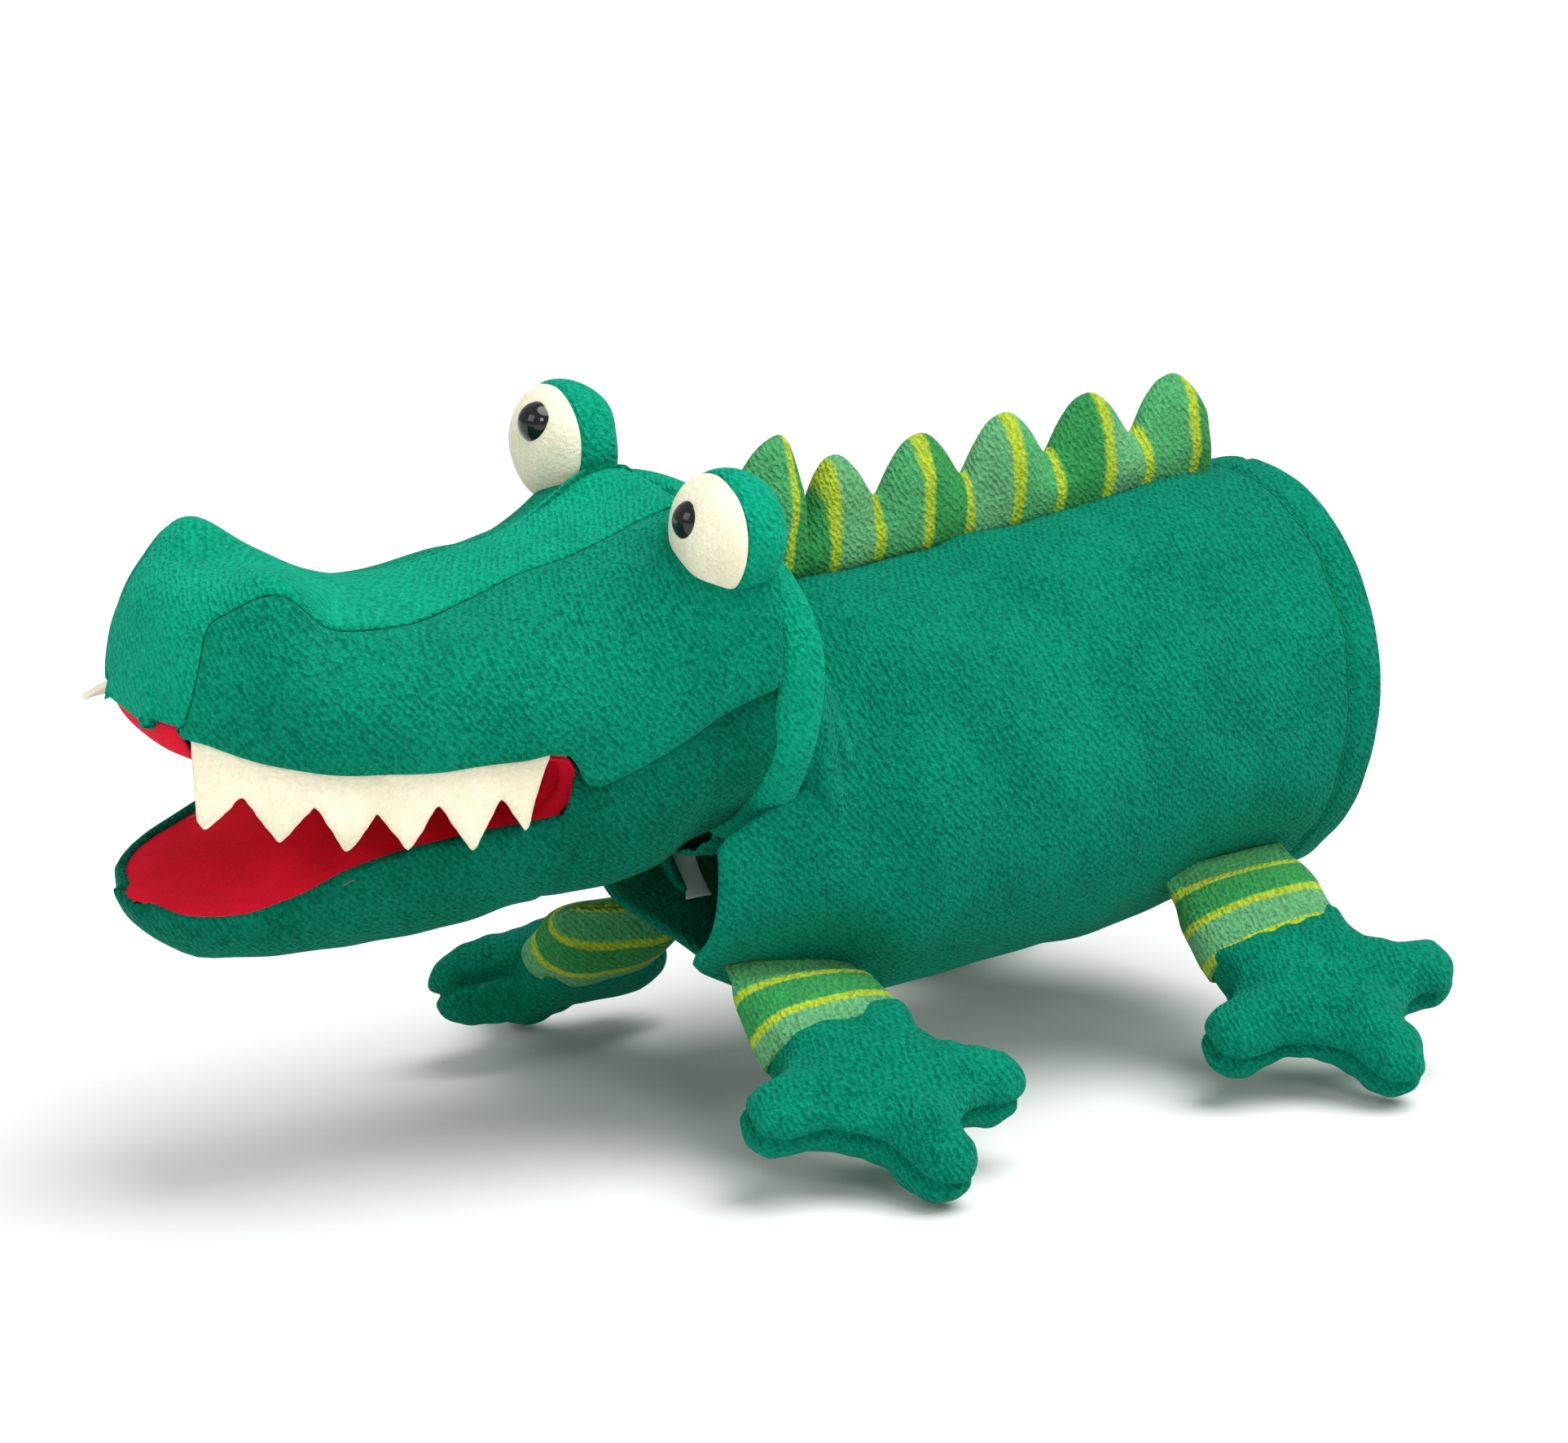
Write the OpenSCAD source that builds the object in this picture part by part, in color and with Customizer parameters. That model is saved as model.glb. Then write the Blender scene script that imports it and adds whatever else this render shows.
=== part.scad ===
// Long-snouted velour hand puppet with a moving mouth.
// +Z is up and the nose points along -Y. The origin lies on the ground, under the middle of the puppet.
// The puppet's left side is +X. The head is modelled straight, then turned about the wrist.

/* [Body tube] */
// Width of the body tube
body_w = 120; // [100:1:144]
// Height of the body tube
body_h = 127; // [106:1:152]
// Where the rear rim stands behind the origin
body_rear = 189; // [170:1:220]
// Height of the tube's middle above the ground at the origin
body_z = 88.6; // [80:0.2:100]
// Upward slope of the tube towards its rear
body_pitch = 5.7; // [0:0.1:8]
// Thickness of the velour with its backing
body_wall = 4; // [2:0.5:5]
// Depth of the turned-in hem at the rear rim
hem_deep = 12; // [8:1:20]
// Thickness of the hem and of the thin linings
lining_t = 1.5; // [1:0.1:2]

/* [Crest] */
// Thickness of the stuffed crest
crest_t = 10; // [6:1:14]
// Height of the peaks above the back
crest_peak = 32; // [26:1:39]
// Height of the valleys between the peaks
crest_valley = 19; // [12:1:22]
// Distance between two peaks
crest_pitch = 31.5; // [26:0.5:34]
// Number of full peaks behind the small first one
crest_count = 5; // [3:1:5]

/* [Head] */
// How far the head leans over to one side at rest
head_tilt_rest = 9; // [0:1:10]
// How far the nose is turned to one side at rest
head_turn_rest = -3; // [-5:1:5]
// Widening of the head against its pattern
head_wide = 1; // [0.85:0.05:1.2]
// Thickness of the head panels
head_wall = 3; // [2:0.5:4]
// Height of the bump over each nostril
nostril_h = 7; // [4:0.5:9]
// Half the width of the top panel at the nose, as a share of the head's half width
top_share = 0.72; // [0.6:0.02:0.8]
// Thickness of the stiff boards behind the palates
board_t = 2; // [1.5:0.1:2.4]

/* [Mouth] */
// Number of teeth on each side
tooth_count = 6; // [4:1:8]
// Length of a tooth below the lip
tooth_len = 22; // [17:1:24]
// Depth of the strip that the teeth are cut from
tooth_band = 9; // [6:1:11]
// Thickness of the felt teeth
tooth_t = 1.5; // [1:0.1:2]
// How far the jaw's sides stay inside the lip
jaw_inset = 5.5; // [5.5:0.1:7]
// Thickness of the jaw panel
jaw_wall = 3; // [2:0.5:3.5]

/* [Eyes] */
// Diameter of the black bead
bead_d = 12; // [10:0.5:14]
// Width of the eye across the head
eye_w = 37; // [32:1:44]
// Height of the eye dome's ball
eye_h = 36; // [32:1:43]

/* [Legs] */
// Length of a front leg's striped sleeve
front_sleeve_len = 24; // [20:1:29]
// Length of a rear leg's striped sleeve
rear_sleeve_len = 28; // [23:1:33]
// Width of the leg along the body
leg_w = 48; // [40:1:56]
// Thickness of the stuffed leg at the ankle
leg_t = 20; // [17:1:22]
// Length from the ankle to the centre of the middle toe's tip
foot_len = 52; // [45:1:62]
// Width and thickness of a toe
toe_w = 24; // [20:1:26]
// Place of the front legs along the body
front_leg_y = -12; // [-16:1:0]
// Place of the rear legs along the body
rear_leg_y = 144; // [126:1:154]

/* [Hidden] */

velour = [0.0, 0.5, 0.37];
velour_dark = [0.0, 0.42, 0.3];
stripes = [0.25, 0.6, 0.3];
felt = [0.94, 0.92, 0.8];
lining_red = [0.72, 0.06, 0.12];
padding = [0.9, 0.9, 0.88];
board_grey = [0.55, 0.5, 0.42];
bead_black = [0.02, 0.02, 0.02];

// Small gap between neighbours that are sewn together, and room for what has to move
seam = 0.3;
big = 400;

// ---------------------------------------------------------------- closed forms from rows of points

function flat(rows) = [for (row = rows) for (p = row) p];
function quad(a, b, c, d) = [[a, b, c], [a, c, d]];
function turned(tris) = [for (t = tris) [t[0], t[2], t[1]]];

// A sheet with thickness: rows of points run along +Y, points within a row run from +X over +Z.
module shell(outer, inner)
{
    m = len(outer);
    n = len(outer[0]);
    o = m * n;
    skin = [for (i = [0:m - 2]) for (j = [0:n - 2])
        each quad(i * n + j, i * n + j + 1, (i + 1) * n + j + 1, (i + 1) * n + j)];
    near = [for (j = [0:n - 2]) each quad(j, o + j, o + j + 1, j + 1)];
    far_row = (m - 1) * n;
    far = [for (j = [0:n - 2])
        each quad(far_row + j, far_row + j + 1, o + far_row + j + 1, o + far_row + j)];
    low = [for (i = [0:m - 2]) each quad(i * n, (i + 1) * n, o + (i + 1) * n, o + i * n)];
    high = [for (i = [0:m - 2])
        each quad((i + 1) * n - 1, o + (i + 1) * n - 1, o + (i + 2) * n - 1, (i + 2) * n - 1)];
    inside = [for (t = turned(skin)) [t[0] + o, t[1] + o, t[2] + o]];
    polyhedron(concat(flat(outer), flat(inner)), concat(skin, inside, near, far, low, high));
}

function middle(row) = [for (k = [0:2]) [for (p = row) p[k]] * [for (p = row) 1] / len(row)];

// A solid through closed rings of points, with the same order as a sheet.
module loft(rings)
{
    m = len(rings);
    n = len(rings[0]);
    skin = [for (i = [0:m - 2]) for (j = [0:n - 1])
        each quad(i * n + j, i * n + (j + 1) % n, (i + 1) * n + (j + 1) % n, (i + 1) * n + j)];
    first = [for (j = [0:n - 1]) [m * n, (j + 1) % n, j]];
    last = [for (j = [0:n - 1]) [m * n + 1, (m - 1) * n + j, (m - 1) * n + (j + 1) % n]];
    polyhedron(concat(flat(rings), [middle(rings[0]), middle(rings[m - 1])]),
        concat(skin, first, last));
}

// A thin flat solid that follows a width and a height along Y.
module slab(ys, half, top, thick)
{
    loft([for (i = [0:len(ys) - 1]) [
        [half[i], ys[i], top[i] - thick], [half[i], ys[i], top[i]],
        [-half[i], ys[i], top[i]], [-half[i], ys[i], top[i] - thick]]]);
}

function smooth(t) = let (c = min(1, max(0, t))) c * c * (3 - 2 * c);
function spow(v, e) = sign(v) * pow(abs(v), e);
function steps(a, b, n) = [for (i = [0:n]) a + (b - a) * i / n];

// ---------------------------------------------------------------- body tube

body_cols = 16;
body_rows = 9;
// The tube narrows towards the hood and its belly rises under the throat
neck_tuck = 6;
neck_tuck_len = 25;
belly_rise = 0.35;
belly_rise_from = 24;
// The lower front edge runs forward under the throat
belly_front = -42;

function body_half(y) = body_w / 2 - neck_tuck * smooth((neck_tuck_len - y) / neck_tuck_len);
function body_mid(y) = body_z + tan(body_pitch) * y;
function belly_lift(y, a) = max(0, belly_rise_from - y) * belly_rise * max(0, -sin(a));
function body_pt(y, a, off) = [
    (body_half(y) - off) * cos(a), y,
    body_mid(y) + (body_h / 2 - off) * sin(a) + belly_lift(y, a)];
function body_front(a) = belly_front * smooth((-sin(a) - 0.04) / 0.4);
function body_row(t, off, from, to) = [for (a = steps(from, to, body_cols))
    body_pt(body_front(a) + (body_rear - body_front(a)) * t, a, off)];

module body_side()
{
    color(velour)
        shell([for (t = steps(0, 1, body_rows)) body_row(t, 0, -90, 90)],
            [for (t = steps(0, 1, body_rows)) body_row(t, body_wall, -90, 90)]);
}

module body_left() { body_side(); }
module body_right() { mirror([1, 0, 0]) body_side(); }

// The hem lies inside the rear rim, turned in and stitched
module rear_hem()
{
    color(velour_dark)
        for (side = [0, 1]) mirror([side, 0, 0])
            shell([for (y = [body_rear - hem_deep, body_rear - 1]) [for (a = steps(-90, 90, body_cols))
                body_pt(y, a, body_wall + 0.05)]],
                [for (y = [body_rear - hem_deep, body_rear - 1]) [for (a = steps(-90, 90, body_cols))
                body_pt(y, a, body_wall + 0.05 + lining_t)]]);
}

// Blank care label, sewn to the inside of the belly on the right
label_w = 14;
label_len = 20;
label_t = 0.8;
label_y = 4;
label_angle = 214;
label_off = 4;
module care_label()
{
    color(felt)
        translate(body_pt(label_y, label_angle, body_wall + label_off)) rotate([0, 180 - label_angle, 0])
            cube([label_t, label_w, label_len], center = true);
}

// ---------------------------------------------------------------- crest

crest_steps = 8;
// The first peak is narrow and stands just behind the hood
crest_start = 4.5;
first_peak_y = 8;
first_pitch = 22;
second_peak_y = first_peak_y + first_pitch;
crest_end = second_peak_y + (crest_count - 0.5) * crest_pitch;
function crest_turn(y) = (y - second_peak_y) / (y < second_peak_y ? first_pitch : crest_pitch);
function crest_base(y) = body_mid(y) + body_h / 2 + 0.1;
function crest_h(y) = let (wave = 0.5 + 0.5 * cos(360 * crest_turn(y)))
    let (ends = smooth((y - crest_start + 4) / 5) * smooth((crest_end - y) / 5))
    ends * (crest_valley + (crest_peak - crest_valley) * pow(wave, 0.8));
crest_ys = steps(crest_start, crest_end, (crest_count + 1) * crest_steps);

module crest_half()
{
    outline = concat([for (y = crest_ys) [y, crest_base(y) + max(1, crest_h(y))]],
        [[crest_end, crest_base(crest_end)], [crest_start, crest_base(crest_start)]]);
    color(stripes)
        rotate([90, 0, 90]) linear_extrude(crest_t / 2) polygon(outline);
}

module crest_left() { crest_half(); }
module crest_right() { mirror([1, 0, 0]) crest_half(); }

// ---------------------------------------------------------------- wrist

wrist = [0, -16, 106];
sleeve_r = 32;
wrist_lining_r = 29.2;
neck_wall = 2.4;

function arc(r, from, to) = [for (z = steps(from, to, 8)) [sqrt(r * r - z * z), z]];
module neck_zone(r, from, to)
{
    inner = arc(r - neck_wall, from, to);
    translate(wrist) rotate([-90, 0, 0]) rotate_extrude($fn = 48)
        polygon(concat(arc(r, from, to), [for (k = [len(inner) - 1:-1:0]) inner[k]]));
}

module neck_sleeve() { color(velour_dark) neck_zone(sleeve_r, -6, 14); }
module wrist_lining() { color(lining_red) neck_zone(wrist_lining_r, -9, 9); }

// ---------------------------------------------------------------- head pattern

nose_y = -190;
hood_front = -30;
hood_rear = -19;
corner = [-82, 118];

// Half width, lower edge and top of the head at places along Y
head_half_at = [[nose_y, 13], [-187, 23], [-182, 30], [-174, 36], [-163, 40], [-136, 43], [-106, 46],
    [-76, 51], [-46, 57], [hood_front, 60.5], [hood_rear, 62]];
lip_at = [[nose_y, 141], [-184, 140], [-173, 137], [-155, 133], [-137, 130], [-88, 129],
    [corner[0], corner[1] + 1], [-56, 132], [hood_front, 148], [hood_rear, 150]];
top_at = [[nose_y, 153], [-187, 164], [-182, 173], [-174, 178], [-163, 180], [-150, 177], [-136, 171],
    [-120, 166], [-104, 165], [-88, 168], [-72, 174], [-56, 181], [-42, 188], [hood_front, 188],
    [hood_rear, 183]];
head_ys = [nose_y, -187, -182, -174, -163, -150, -136, -120, -104, -88, -82, -72, -56, -42,
    hood_front, hood_rear];
head_cols = 20;
head_round = 2.5;
nostril_y = -163;
nostril_x = 21;
nostril_len = 13;
nostril_wide = 10;

function head_half(y) = head_wide * lookup(y, head_half_at);
function lip_z(y) = lookup(y, lip_at);
function top_z(y) = lookup(y, top_at);
function bump(x, y) = nostril_h * exp(-pow((y - nostril_y) / nostril_len, 2))
    * exp(-pow((abs(x) - nostril_x) / nostril_wide, 2));
function head_pt(y, a, off, base) = let (x = (head_half(y) - off) * spow(cos(a), 2 / head_round))
    [x, y, base + (top_z(y) - off - base) * spow(sin(a), 2 / head_round) + bump(x, y) * sin(a)];
function head_ring(y, off, base) = [for (a = steps(0, 180, head_cols)) head_pt(y, a, off, base)];

// The head's outside, filled
module head_form()
{
    loft([for (y = head_ys) head_ring(y, 0, lip_z(y))]);
}

// The room inside the panels, open below
room_below = 8;
module head_room(off)
{
    last = len(head_ys) - 1;
    ys = [for (i = [0:last]) if (i != 1) i == 0 ? nose_y + off : i == last ? hood_rear + 1 : head_ys[i]];
    loft([for (y = ys) head_ring(y, off, lip_z(y) - room_below)]);
}

// Everything above and below the top panel, between its two seams; it gets narrower towards the eyes
top_narrows_at = [[-160, 1], [-110, 0.81], [-80, 0.7], [-47, 0.64]];
module top_block()
{
    edge = [for (y = head_ys) [head_half(y) * top_share * lookup(y, top_narrows_at), y]];
    translate([0, 0, -big / 2]) linear_extrude(2 * big)
        polygon(concat(edge, [for (i = [len(edge) - 1:-1:0]) [-edge[i][0], edge[i][1]]]));
}

module head_skin()
{
    difference() {
        head_form();
        head_room(head_wall);
        translate([-big / 2, hood_front, -big / 2]) cube(big);
    }
}

// The straight head is leaned and turned about the wrist
module posed()
{
    translate(wrist) rotate([0, head_tilt_rest, head_turn_rest]) translate(-wrist) children();
}

module head_top()
{
    color(velour)
        posed() intersection() {
            head_skin();
            top_block();
        }
}

module head_side_form()
{
    difference() {
        head_skin();
        top_block();
        translate([-big, -big / 2, 0]) cube(big);
    }
}

module head_side_left() { color(velour_dark) posed() head_side_form(); }
module head_side_right() { color(velour_dark) posed() mirror([1, 0, 0]) head_side_form(); }

// The hood closes the head behind the eyes and hangs over the front of the body
hood_mid = 138;
hood_droop = 48;
hood_cols = 26;
function hood_row(y, off) = [for (a = steps(-hood_droop, 180 + hood_droop, hood_cols))
    [(head_half(y) - off) * cos(a), y, hood_mid + (top_z(y) - hood_mid - off) * sin(a)]];
hood_ys = [hood_front + 0.1, -26, -22, hood_rear];

module hood_band()
{
    color(velour)
        posed() shell([for (y = hood_ys) hood_row(y, 0)], [for (y = hood_ys) hood_row(y, head_wall)]);
}

// The throat runs from the mouth corners back to the hood
throat_ys = [-78, -66, -54, -44, -36];
throat_low_at = [[-78, 78], [-54, 82], [-36, 91]];
throat_cols = 14;
function throat_row(y, off) = let (rim = lip_z(y) - seam)
    [for (a = steps(-180, 0, throat_cols)) [
        (head_half(y) - off) * spow(cos(a), 2 / head_round), y,
        rim + (rim - lookup(y, throat_low_at) - off) * spow(sin(a), 2 / head_round)]];

module throat_panel()
{
    color(velour_dark)
        posed() shell([for (y = throat_ys) throat_row(y, 0)],
            [for (y = throat_ys) throat_row(y, head_wall)]);
}

// ---------------------------------------------------------------- upper mouth

palate_front = -184;
palate_rear = -86;
palate_ys = [palate_front, -179, -171, -160, -148, -132, -114, -98, palate_rear];
palate_front_z = 139;
palate_rear_z = 130;
palate_t = 1.2;
palate_rise = (palate_front_z - palate_rear_z) / (palate_rear - palate_front);
function palate_z(y) = palate_rear_z + palate_rise * (palate_rear - y);
palate_half = [for (y = palate_ys) head_half(y) - head_wall - seam];

palate_slope = atan(palate_rise);
padding_front = -182;
padding_rear = -150;
pocket_rear = -88;

// Everything above the board, from one place along Y to another
module above_board(from, to)
{
    intersection() {
        translate([-big / 2, palate_rear, palate_rear_z + board_t + 2 * seam]) rotate([-palate_slope, 0, 0])
            translate([0, -big / 2, 0]) cube(big);
        translate([-big / 2, from, 0]) cube([big, to - from, big]);
    }
}

module upper_palate()
{
    color(lining_red)
        posed() intersection() {
            slab(palate_ys, palate_half, [for (y = palate_ys) palate_z(y)], palate_t);
            head_room(head_wall + seam);
        }
}

module upper_board()
{
    color(board_grey)
        posed() intersection() {
            slab(palate_ys, palate_half, [for (y = palate_ys) palate_z(y) + seam + board_t], board_t);
            head_room(head_wall + seam);
        }
}

// Padding fills the nose above the board
module snout_filling()
{
    color(padding)
        posed() intersection() {
            head_room(head_wall + seam);
            above_board(padding_front, padding_rear);
        }
}

// The fingers go in a lining pocket behind the padding
module finger_pocket()
{
    color(lining_red)
        posed() difference() {
            intersection() {
                head_room(head_wall + 1);
                above_board(padding_rear + 1, pocket_rear);
            }
            head_room(head_wall + 1 + lining_t);
        }
}

// The felt strip hangs from the lip; its lower edge is cut into pointed teeth
teeth_front = -184;
teeth_rear = -88;
tooth_gap = 0.7;
// Tips and valleys take turns; the strip starts at a tip and ends on a slant
tooth_ys = steps(teeth_front, teeth_rear, tooth_count * 2 - 1);
function tooth_depth(i) = i == tooth_count * 2 - 1 ? 2 : i % 2 == 0 ? tooth_len : tooth_band;
function tooth_row(i, off) = let (y = tooth_ys[i]) let (x = head_half(y) - tooth_gap - off)
    let (depth = tooth_depth(i)) [
    [x, y, lip_z(y) - depth], [x, y, lip_z(y) - min(depth, tooth_band) * 0.9], [x, y, lip_z(y) - 0.6]];
tooth_rows = [for (i = [0:tooth_count * 2 - 1]) i];

module teeth()
{
    color(felt)
        shell([for (i = tooth_rows) tooth_row(i, 0)], [for (i = tooth_rows) tooth_row(i, tooth_t)]);
}

module teeth_left() { posed() teeth(); }
module teeth_right() { posed() mirror([1, 0, 0]) teeth(); }

// Red gusset that folds in the corner of the mouth
fold_t = 2;
fold_front = -96;
fold_high = 128;
fold_low = 113;
module mouth_fold()
{
    x = head_half(corner[0]) - head_wall - jaw_inset - fold_t;
    color(lining_red)
        translate([x, 0, 0]) rotate([90, 0, 90]) linear_extrude(fold_t)
            polygon([[corner[0] - 2, corner[1]], [fold_front, fold_high], [fold_front, fold_low]]);
}

module mouth_fold_left() { posed() mouth_fold(); }
module mouth_fold_right() { posed() mirror([1, 0, 0]) mouth_fold(); }

// ---------------------------------------------------------------- eyes

eye_at = [40 * head_wide, -36, 183];
eye_deep = 26;
eye_face_y = -44;
bead_at = [37 * head_wide, -47, 187];
stem_r = 1.8;
stem_len = 16;
washer_r = 4.6;
washer_y = -37;
washer_t = 1.5;
fit_gap = 0.05;

// The two eyes aren't sewn on alike: how much further out, back and up each one sits
left_eye = [0, 0, 2];
right_eye = [3, -4, 7];

module eye_ball(shift)
{
    difference() {
        translate(eye_at + shift) scale([eye_w, eye_deep, eye_h] / 2) sphere(r = 1, $fn = 28);
        for (side = [0, 1]) mirror([side, 0, 0]) {
            head_form();
            loft([for (y = [hood_front, hood_rear]) head_ring(y, 0, hood_mid - 20)]);
        }
        translate([0, hood_rear, 0]) cube([big, big, big]);
    }
}

module along_bead(r, from, length)
{
    translate([bead_at[0], from, bead_at[2]]) rotate([-90, 0, 0]) cylinder(r = r, h = length, $fn = 32);
}

module eye_white(shift)
{
    color(felt)
        difference() {
            eye_ball(shift);
            translate(shift) {
                translate([0, eye_face_y, 0]) cube(big);
                along_bead(stem_r + fit_gap, bead_at[1] - 1, stem_len);
                along_bead(bead_d / 2 + fit_gap, bead_at[1] - 20, 20);
            }
        }
}

module eye_dome(shift)
{
    color(velour)
        difference() {
            eye_ball(shift);
            translate(shift) {
                translate([-big / 2, eye_face_y - big, 0]) cube(big);
                along_bead(stem_r + fit_gap, bead_at[1], stem_len + fit_gap);
                along_bead(washer_r + fit_gap, washer_y - fit_gap, washer_t + 2 * fit_gap);
            }
        }
}

module eye_bead()
{
    color(bead_black)
        union() {
            intersection() {
                translate(bead_at) sphere(d = bead_d, $fn = 40);
                translate([0, bead_at[1] - big, 0]) cube(big);
            }
            along_bead(stem_r, bead_at[1] - 1, stem_len + 1);
        }
}

module eye_washer()
{
    color(board_grey)
        difference() {
            along_bead(washer_r, washer_y, washer_t);
            along_bead(stem_r + fit_gap, washer_y - 1, washer_t + 2);
        }
}

module eye_dome_left() { posed() eye_dome(left_eye); }
module eye_dome_right() { posed() mirror([1, 0, 0]) eye_dome(right_eye); }
module eye_white_left() { posed() eye_white(left_eye); }
module eye_white_right() { posed() mirror([1, 0, 0]) eye_white(right_eye); }
module eye_bead_left() { posed() translate(left_eye) eye_bead(); }
module eye_bead_right() { posed() mirror([1, 0, 0]) translate(right_eye) eye_bead(); }
module eye_washer_left() { posed() translate(left_eye) eye_washer(); }
module eye_washer_right() { posed() mirror([1, 0, 0]) translate(right_eye) eye_washer(); }

// ---------------------------------------------------------------- lower jaw

jaw_back = 2;
jaw_ys = [-188, -185, -180, -172, -160, -146, -130, -112, -96, -86];
jaw_rim_at = [[-188, 89], [-180, 90], [-160, 95], [-140, 102], [-116, 108], [-92, 112], [-84, 115]];
jaw_low_at = [[-188, 83], [-180, 76], [-160, 71], [-135, 70], [-109, 74], [-84, 79]];
jaw_cols = 16;
// The rear end leans forward from the hinge, so that the open jaw clears the throat
jaw_relief = 20;

function jaw_half(y) = head_half(y - jaw_back) - jaw_inset;
function jaw_rim(y) = lookup(y, jaw_rim_at);
function jaw_ring(y, off, rim) = [for (a = steps(-180, 0, jaw_cols)) [
    (jaw_half(y) - off) * spow(cos(a), 2 / head_round), y,
    rim + (rim - lookup(y, jaw_low_at) - off) * spow(sin(a), 2 / head_round)]];

module jaw_rear_cut()
{
    translate([-big / 2, corner[0] - 3, corner[1]]) rotate([-jaw_relief, 0, 0])
        translate([0, 0, -big]) cube([big, big, big * 2]);
}

// The room inside the jaw panel, open above
module jaw_room(off)
{
    last = len(jaw_ys) - 1;
    ys = [for (i = [0:last]) if (i != 1) i == 0 ? jaw_ys[0] + off : i == last ? corner[0] + 2 : jaw_ys[i]];
    loft([for (y = ys) jaw_ring(y, off, jaw_rim(y) + 6)]);
}

module jaw_panel()
{
    color(velour_dark)
        posed() difference() {
            loft([for (y = jaw_ys) jaw_ring(y, 0, jaw_rim(y))]);
            jaw_room(jaw_wall);
            jaw_rear_cut();
        }
}

jaw_front = -190;
jaw_palate_rear = -92;
jaw_palate_ys = [-187, -183, -178, -170, -160, -146, -130, -112, -100, jaw_palate_rear];
jaw_deep = 60;
jaw_padding_rear = -150;
thumb_room_rear = -104;

// A layer of the jaw, below its rim and inside the panel
module jaw_layer(gap, below, thick, from, to)
{
    intersection() {
        slab(jaw_palate_ys, [for (y = jaw_palate_ys) big],
            [for (y = jaw_palate_ys) jaw_rim(y) - below], thick);
        jaw_room(jaw_wall + gap);
        translate([-big / 2, from, 0]) cube([big, to - from, big]);
    }
}

jaw_layers = palate_t + board_t + 2 * seam;

module jaw_palate()
{
    color(lining_red) posed() jaw_layer(seam, 0, palate_t, jaw_front, jaw_palate_rear);
}

module jaw_board()
{
    color(board_grey) posed() jaw_layer(seam, palate_t + seam, board_t, jaw_front, jaw_palate_rear);
}

module jaw_filling()
{
    color(padding) posed() jaw_layer(seam, jaw_layers, jaw_deep, jaw_front, jaw_padding_rear);
}

// The thumb goes in a lining pocket under the board
module thumb_pocket()
{
    color(lining_red)
        posed() difference() {
            jaw_layer(1, jaw_layers, jaw_deep, jaw_padding_rear + 1, thumb_room_rear);
            jaw_layer(1 + lining_t, 0, 2 * jaw_deep, jaw_front, 0);
        }
}

// ---------------------------------------------------------------- legs

// The legs are sewn into the lower side of the tube
hip_angle = -44;
hip_gap = 3;
ankle_gap = 0.6;
root_t = 4;
front_drop = 36;
rear_drop = 42;
toe_forward = 82;
toe_backward = 66;
side_toe_len = 35;
// Feet lean a little, front edge down
front_lean = 3;
rear_lean = 13;
sole_round = 24;

function sleeve_len(rear) = rear ? rear_sleeve_len : front_sleeve_len;
function hip_y(rear) = rear ? rear_leg_y : front_leg_y;
function hip_pt(rear) = body_pt(hip_y(rear), hip_angle, -hip_gap);
function hip_slope(rear) = let (d = leg_w / 2 - 4) atan(
    (body_pt(hip_y(rear) + d, hip_angle, 0)[2] - body_pt(hip_y(rear) - d, hip_angle, 0)[2]) / (2 * d));
function leg_drop(rear) = rear ? rear_drop : front_drop;
function ankle_pt(rear) = hip_pt(rear) + sleeve_len(rear) * [cos(leg_drop(rear)), 0, -sin(leg_drop(rear))];
// The facets of a toe's ball end a little short of its true bottom
facet_gap = 0.1;
function foot_drop(rear) = asin((ankle_pt(rear)[2] - toe_w / 2 + facet_gap) / foot_len);

function foot_lean(rear) = rear ? rear_lean : front_lean;

// The frame of a foot: at the ankle, with +X towards the middle toe
module at_ankle(rear)
{
    translate(ankle_pt(rear)) rotate([foot_lean(rear), 0, 0]) rotate([0, foot_drop(rear), 0]) children();
}

// A striped sleeve: a flat edge at the body, round at the ankle
sleeve_cols = 20;
module leg_sleeve(rear)
{
    long = sleeve_len(rear);
    at = [[0, root_t / 2, leg_w / 2 - 3], [4, leg_t * 0.28, leg_w / 2 - 2], [9, leg_t * 0.42, leg_w / 2 - 1],
        [long - 6, leg_t / 2 - 0.5, leg_w / 2], [long + 2, leg_t / 2 - 0.5, leg_w / 2]];
    color(stripes)
        difference() {
            translate(hip_pt(rear)) rotate([0, leg_drop(rear), 0]) rotate([0, 0, -90]) loft([for (s = at)
                let (twist = hip_slope(rear) + (foot_lean(rear) - hip_slope(rear)) * s[0] / long)
                [for (a = steps(0, 360 - 360 / sleeve_cols, sleeve_cols - 1))
                    let (w = s[2] * cos(a), t = s[1] * sin(a))
                    [w * cos(twist) + t * sin(twist), s[0], t * cos(twist) - w * sin(twist)]]]);
            at_ankle(rear) rotate([90, 0, 0])
                cylinder(r = leg_t / 2 + ankle_gap, h = leg_w * 2, center = true, $fn = 48);
        }
}

module toe(a, from, length)
{
    hull() {
        translate([from, 0, 0]) scale([1, 1, 0.9]) sphere(d = toe_w, $fn = sole_round);
        translate([from + length * cos(a), length * sin(a), 0]) sphere(d = toe_w, $fn = sole_round);
    }
}

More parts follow.
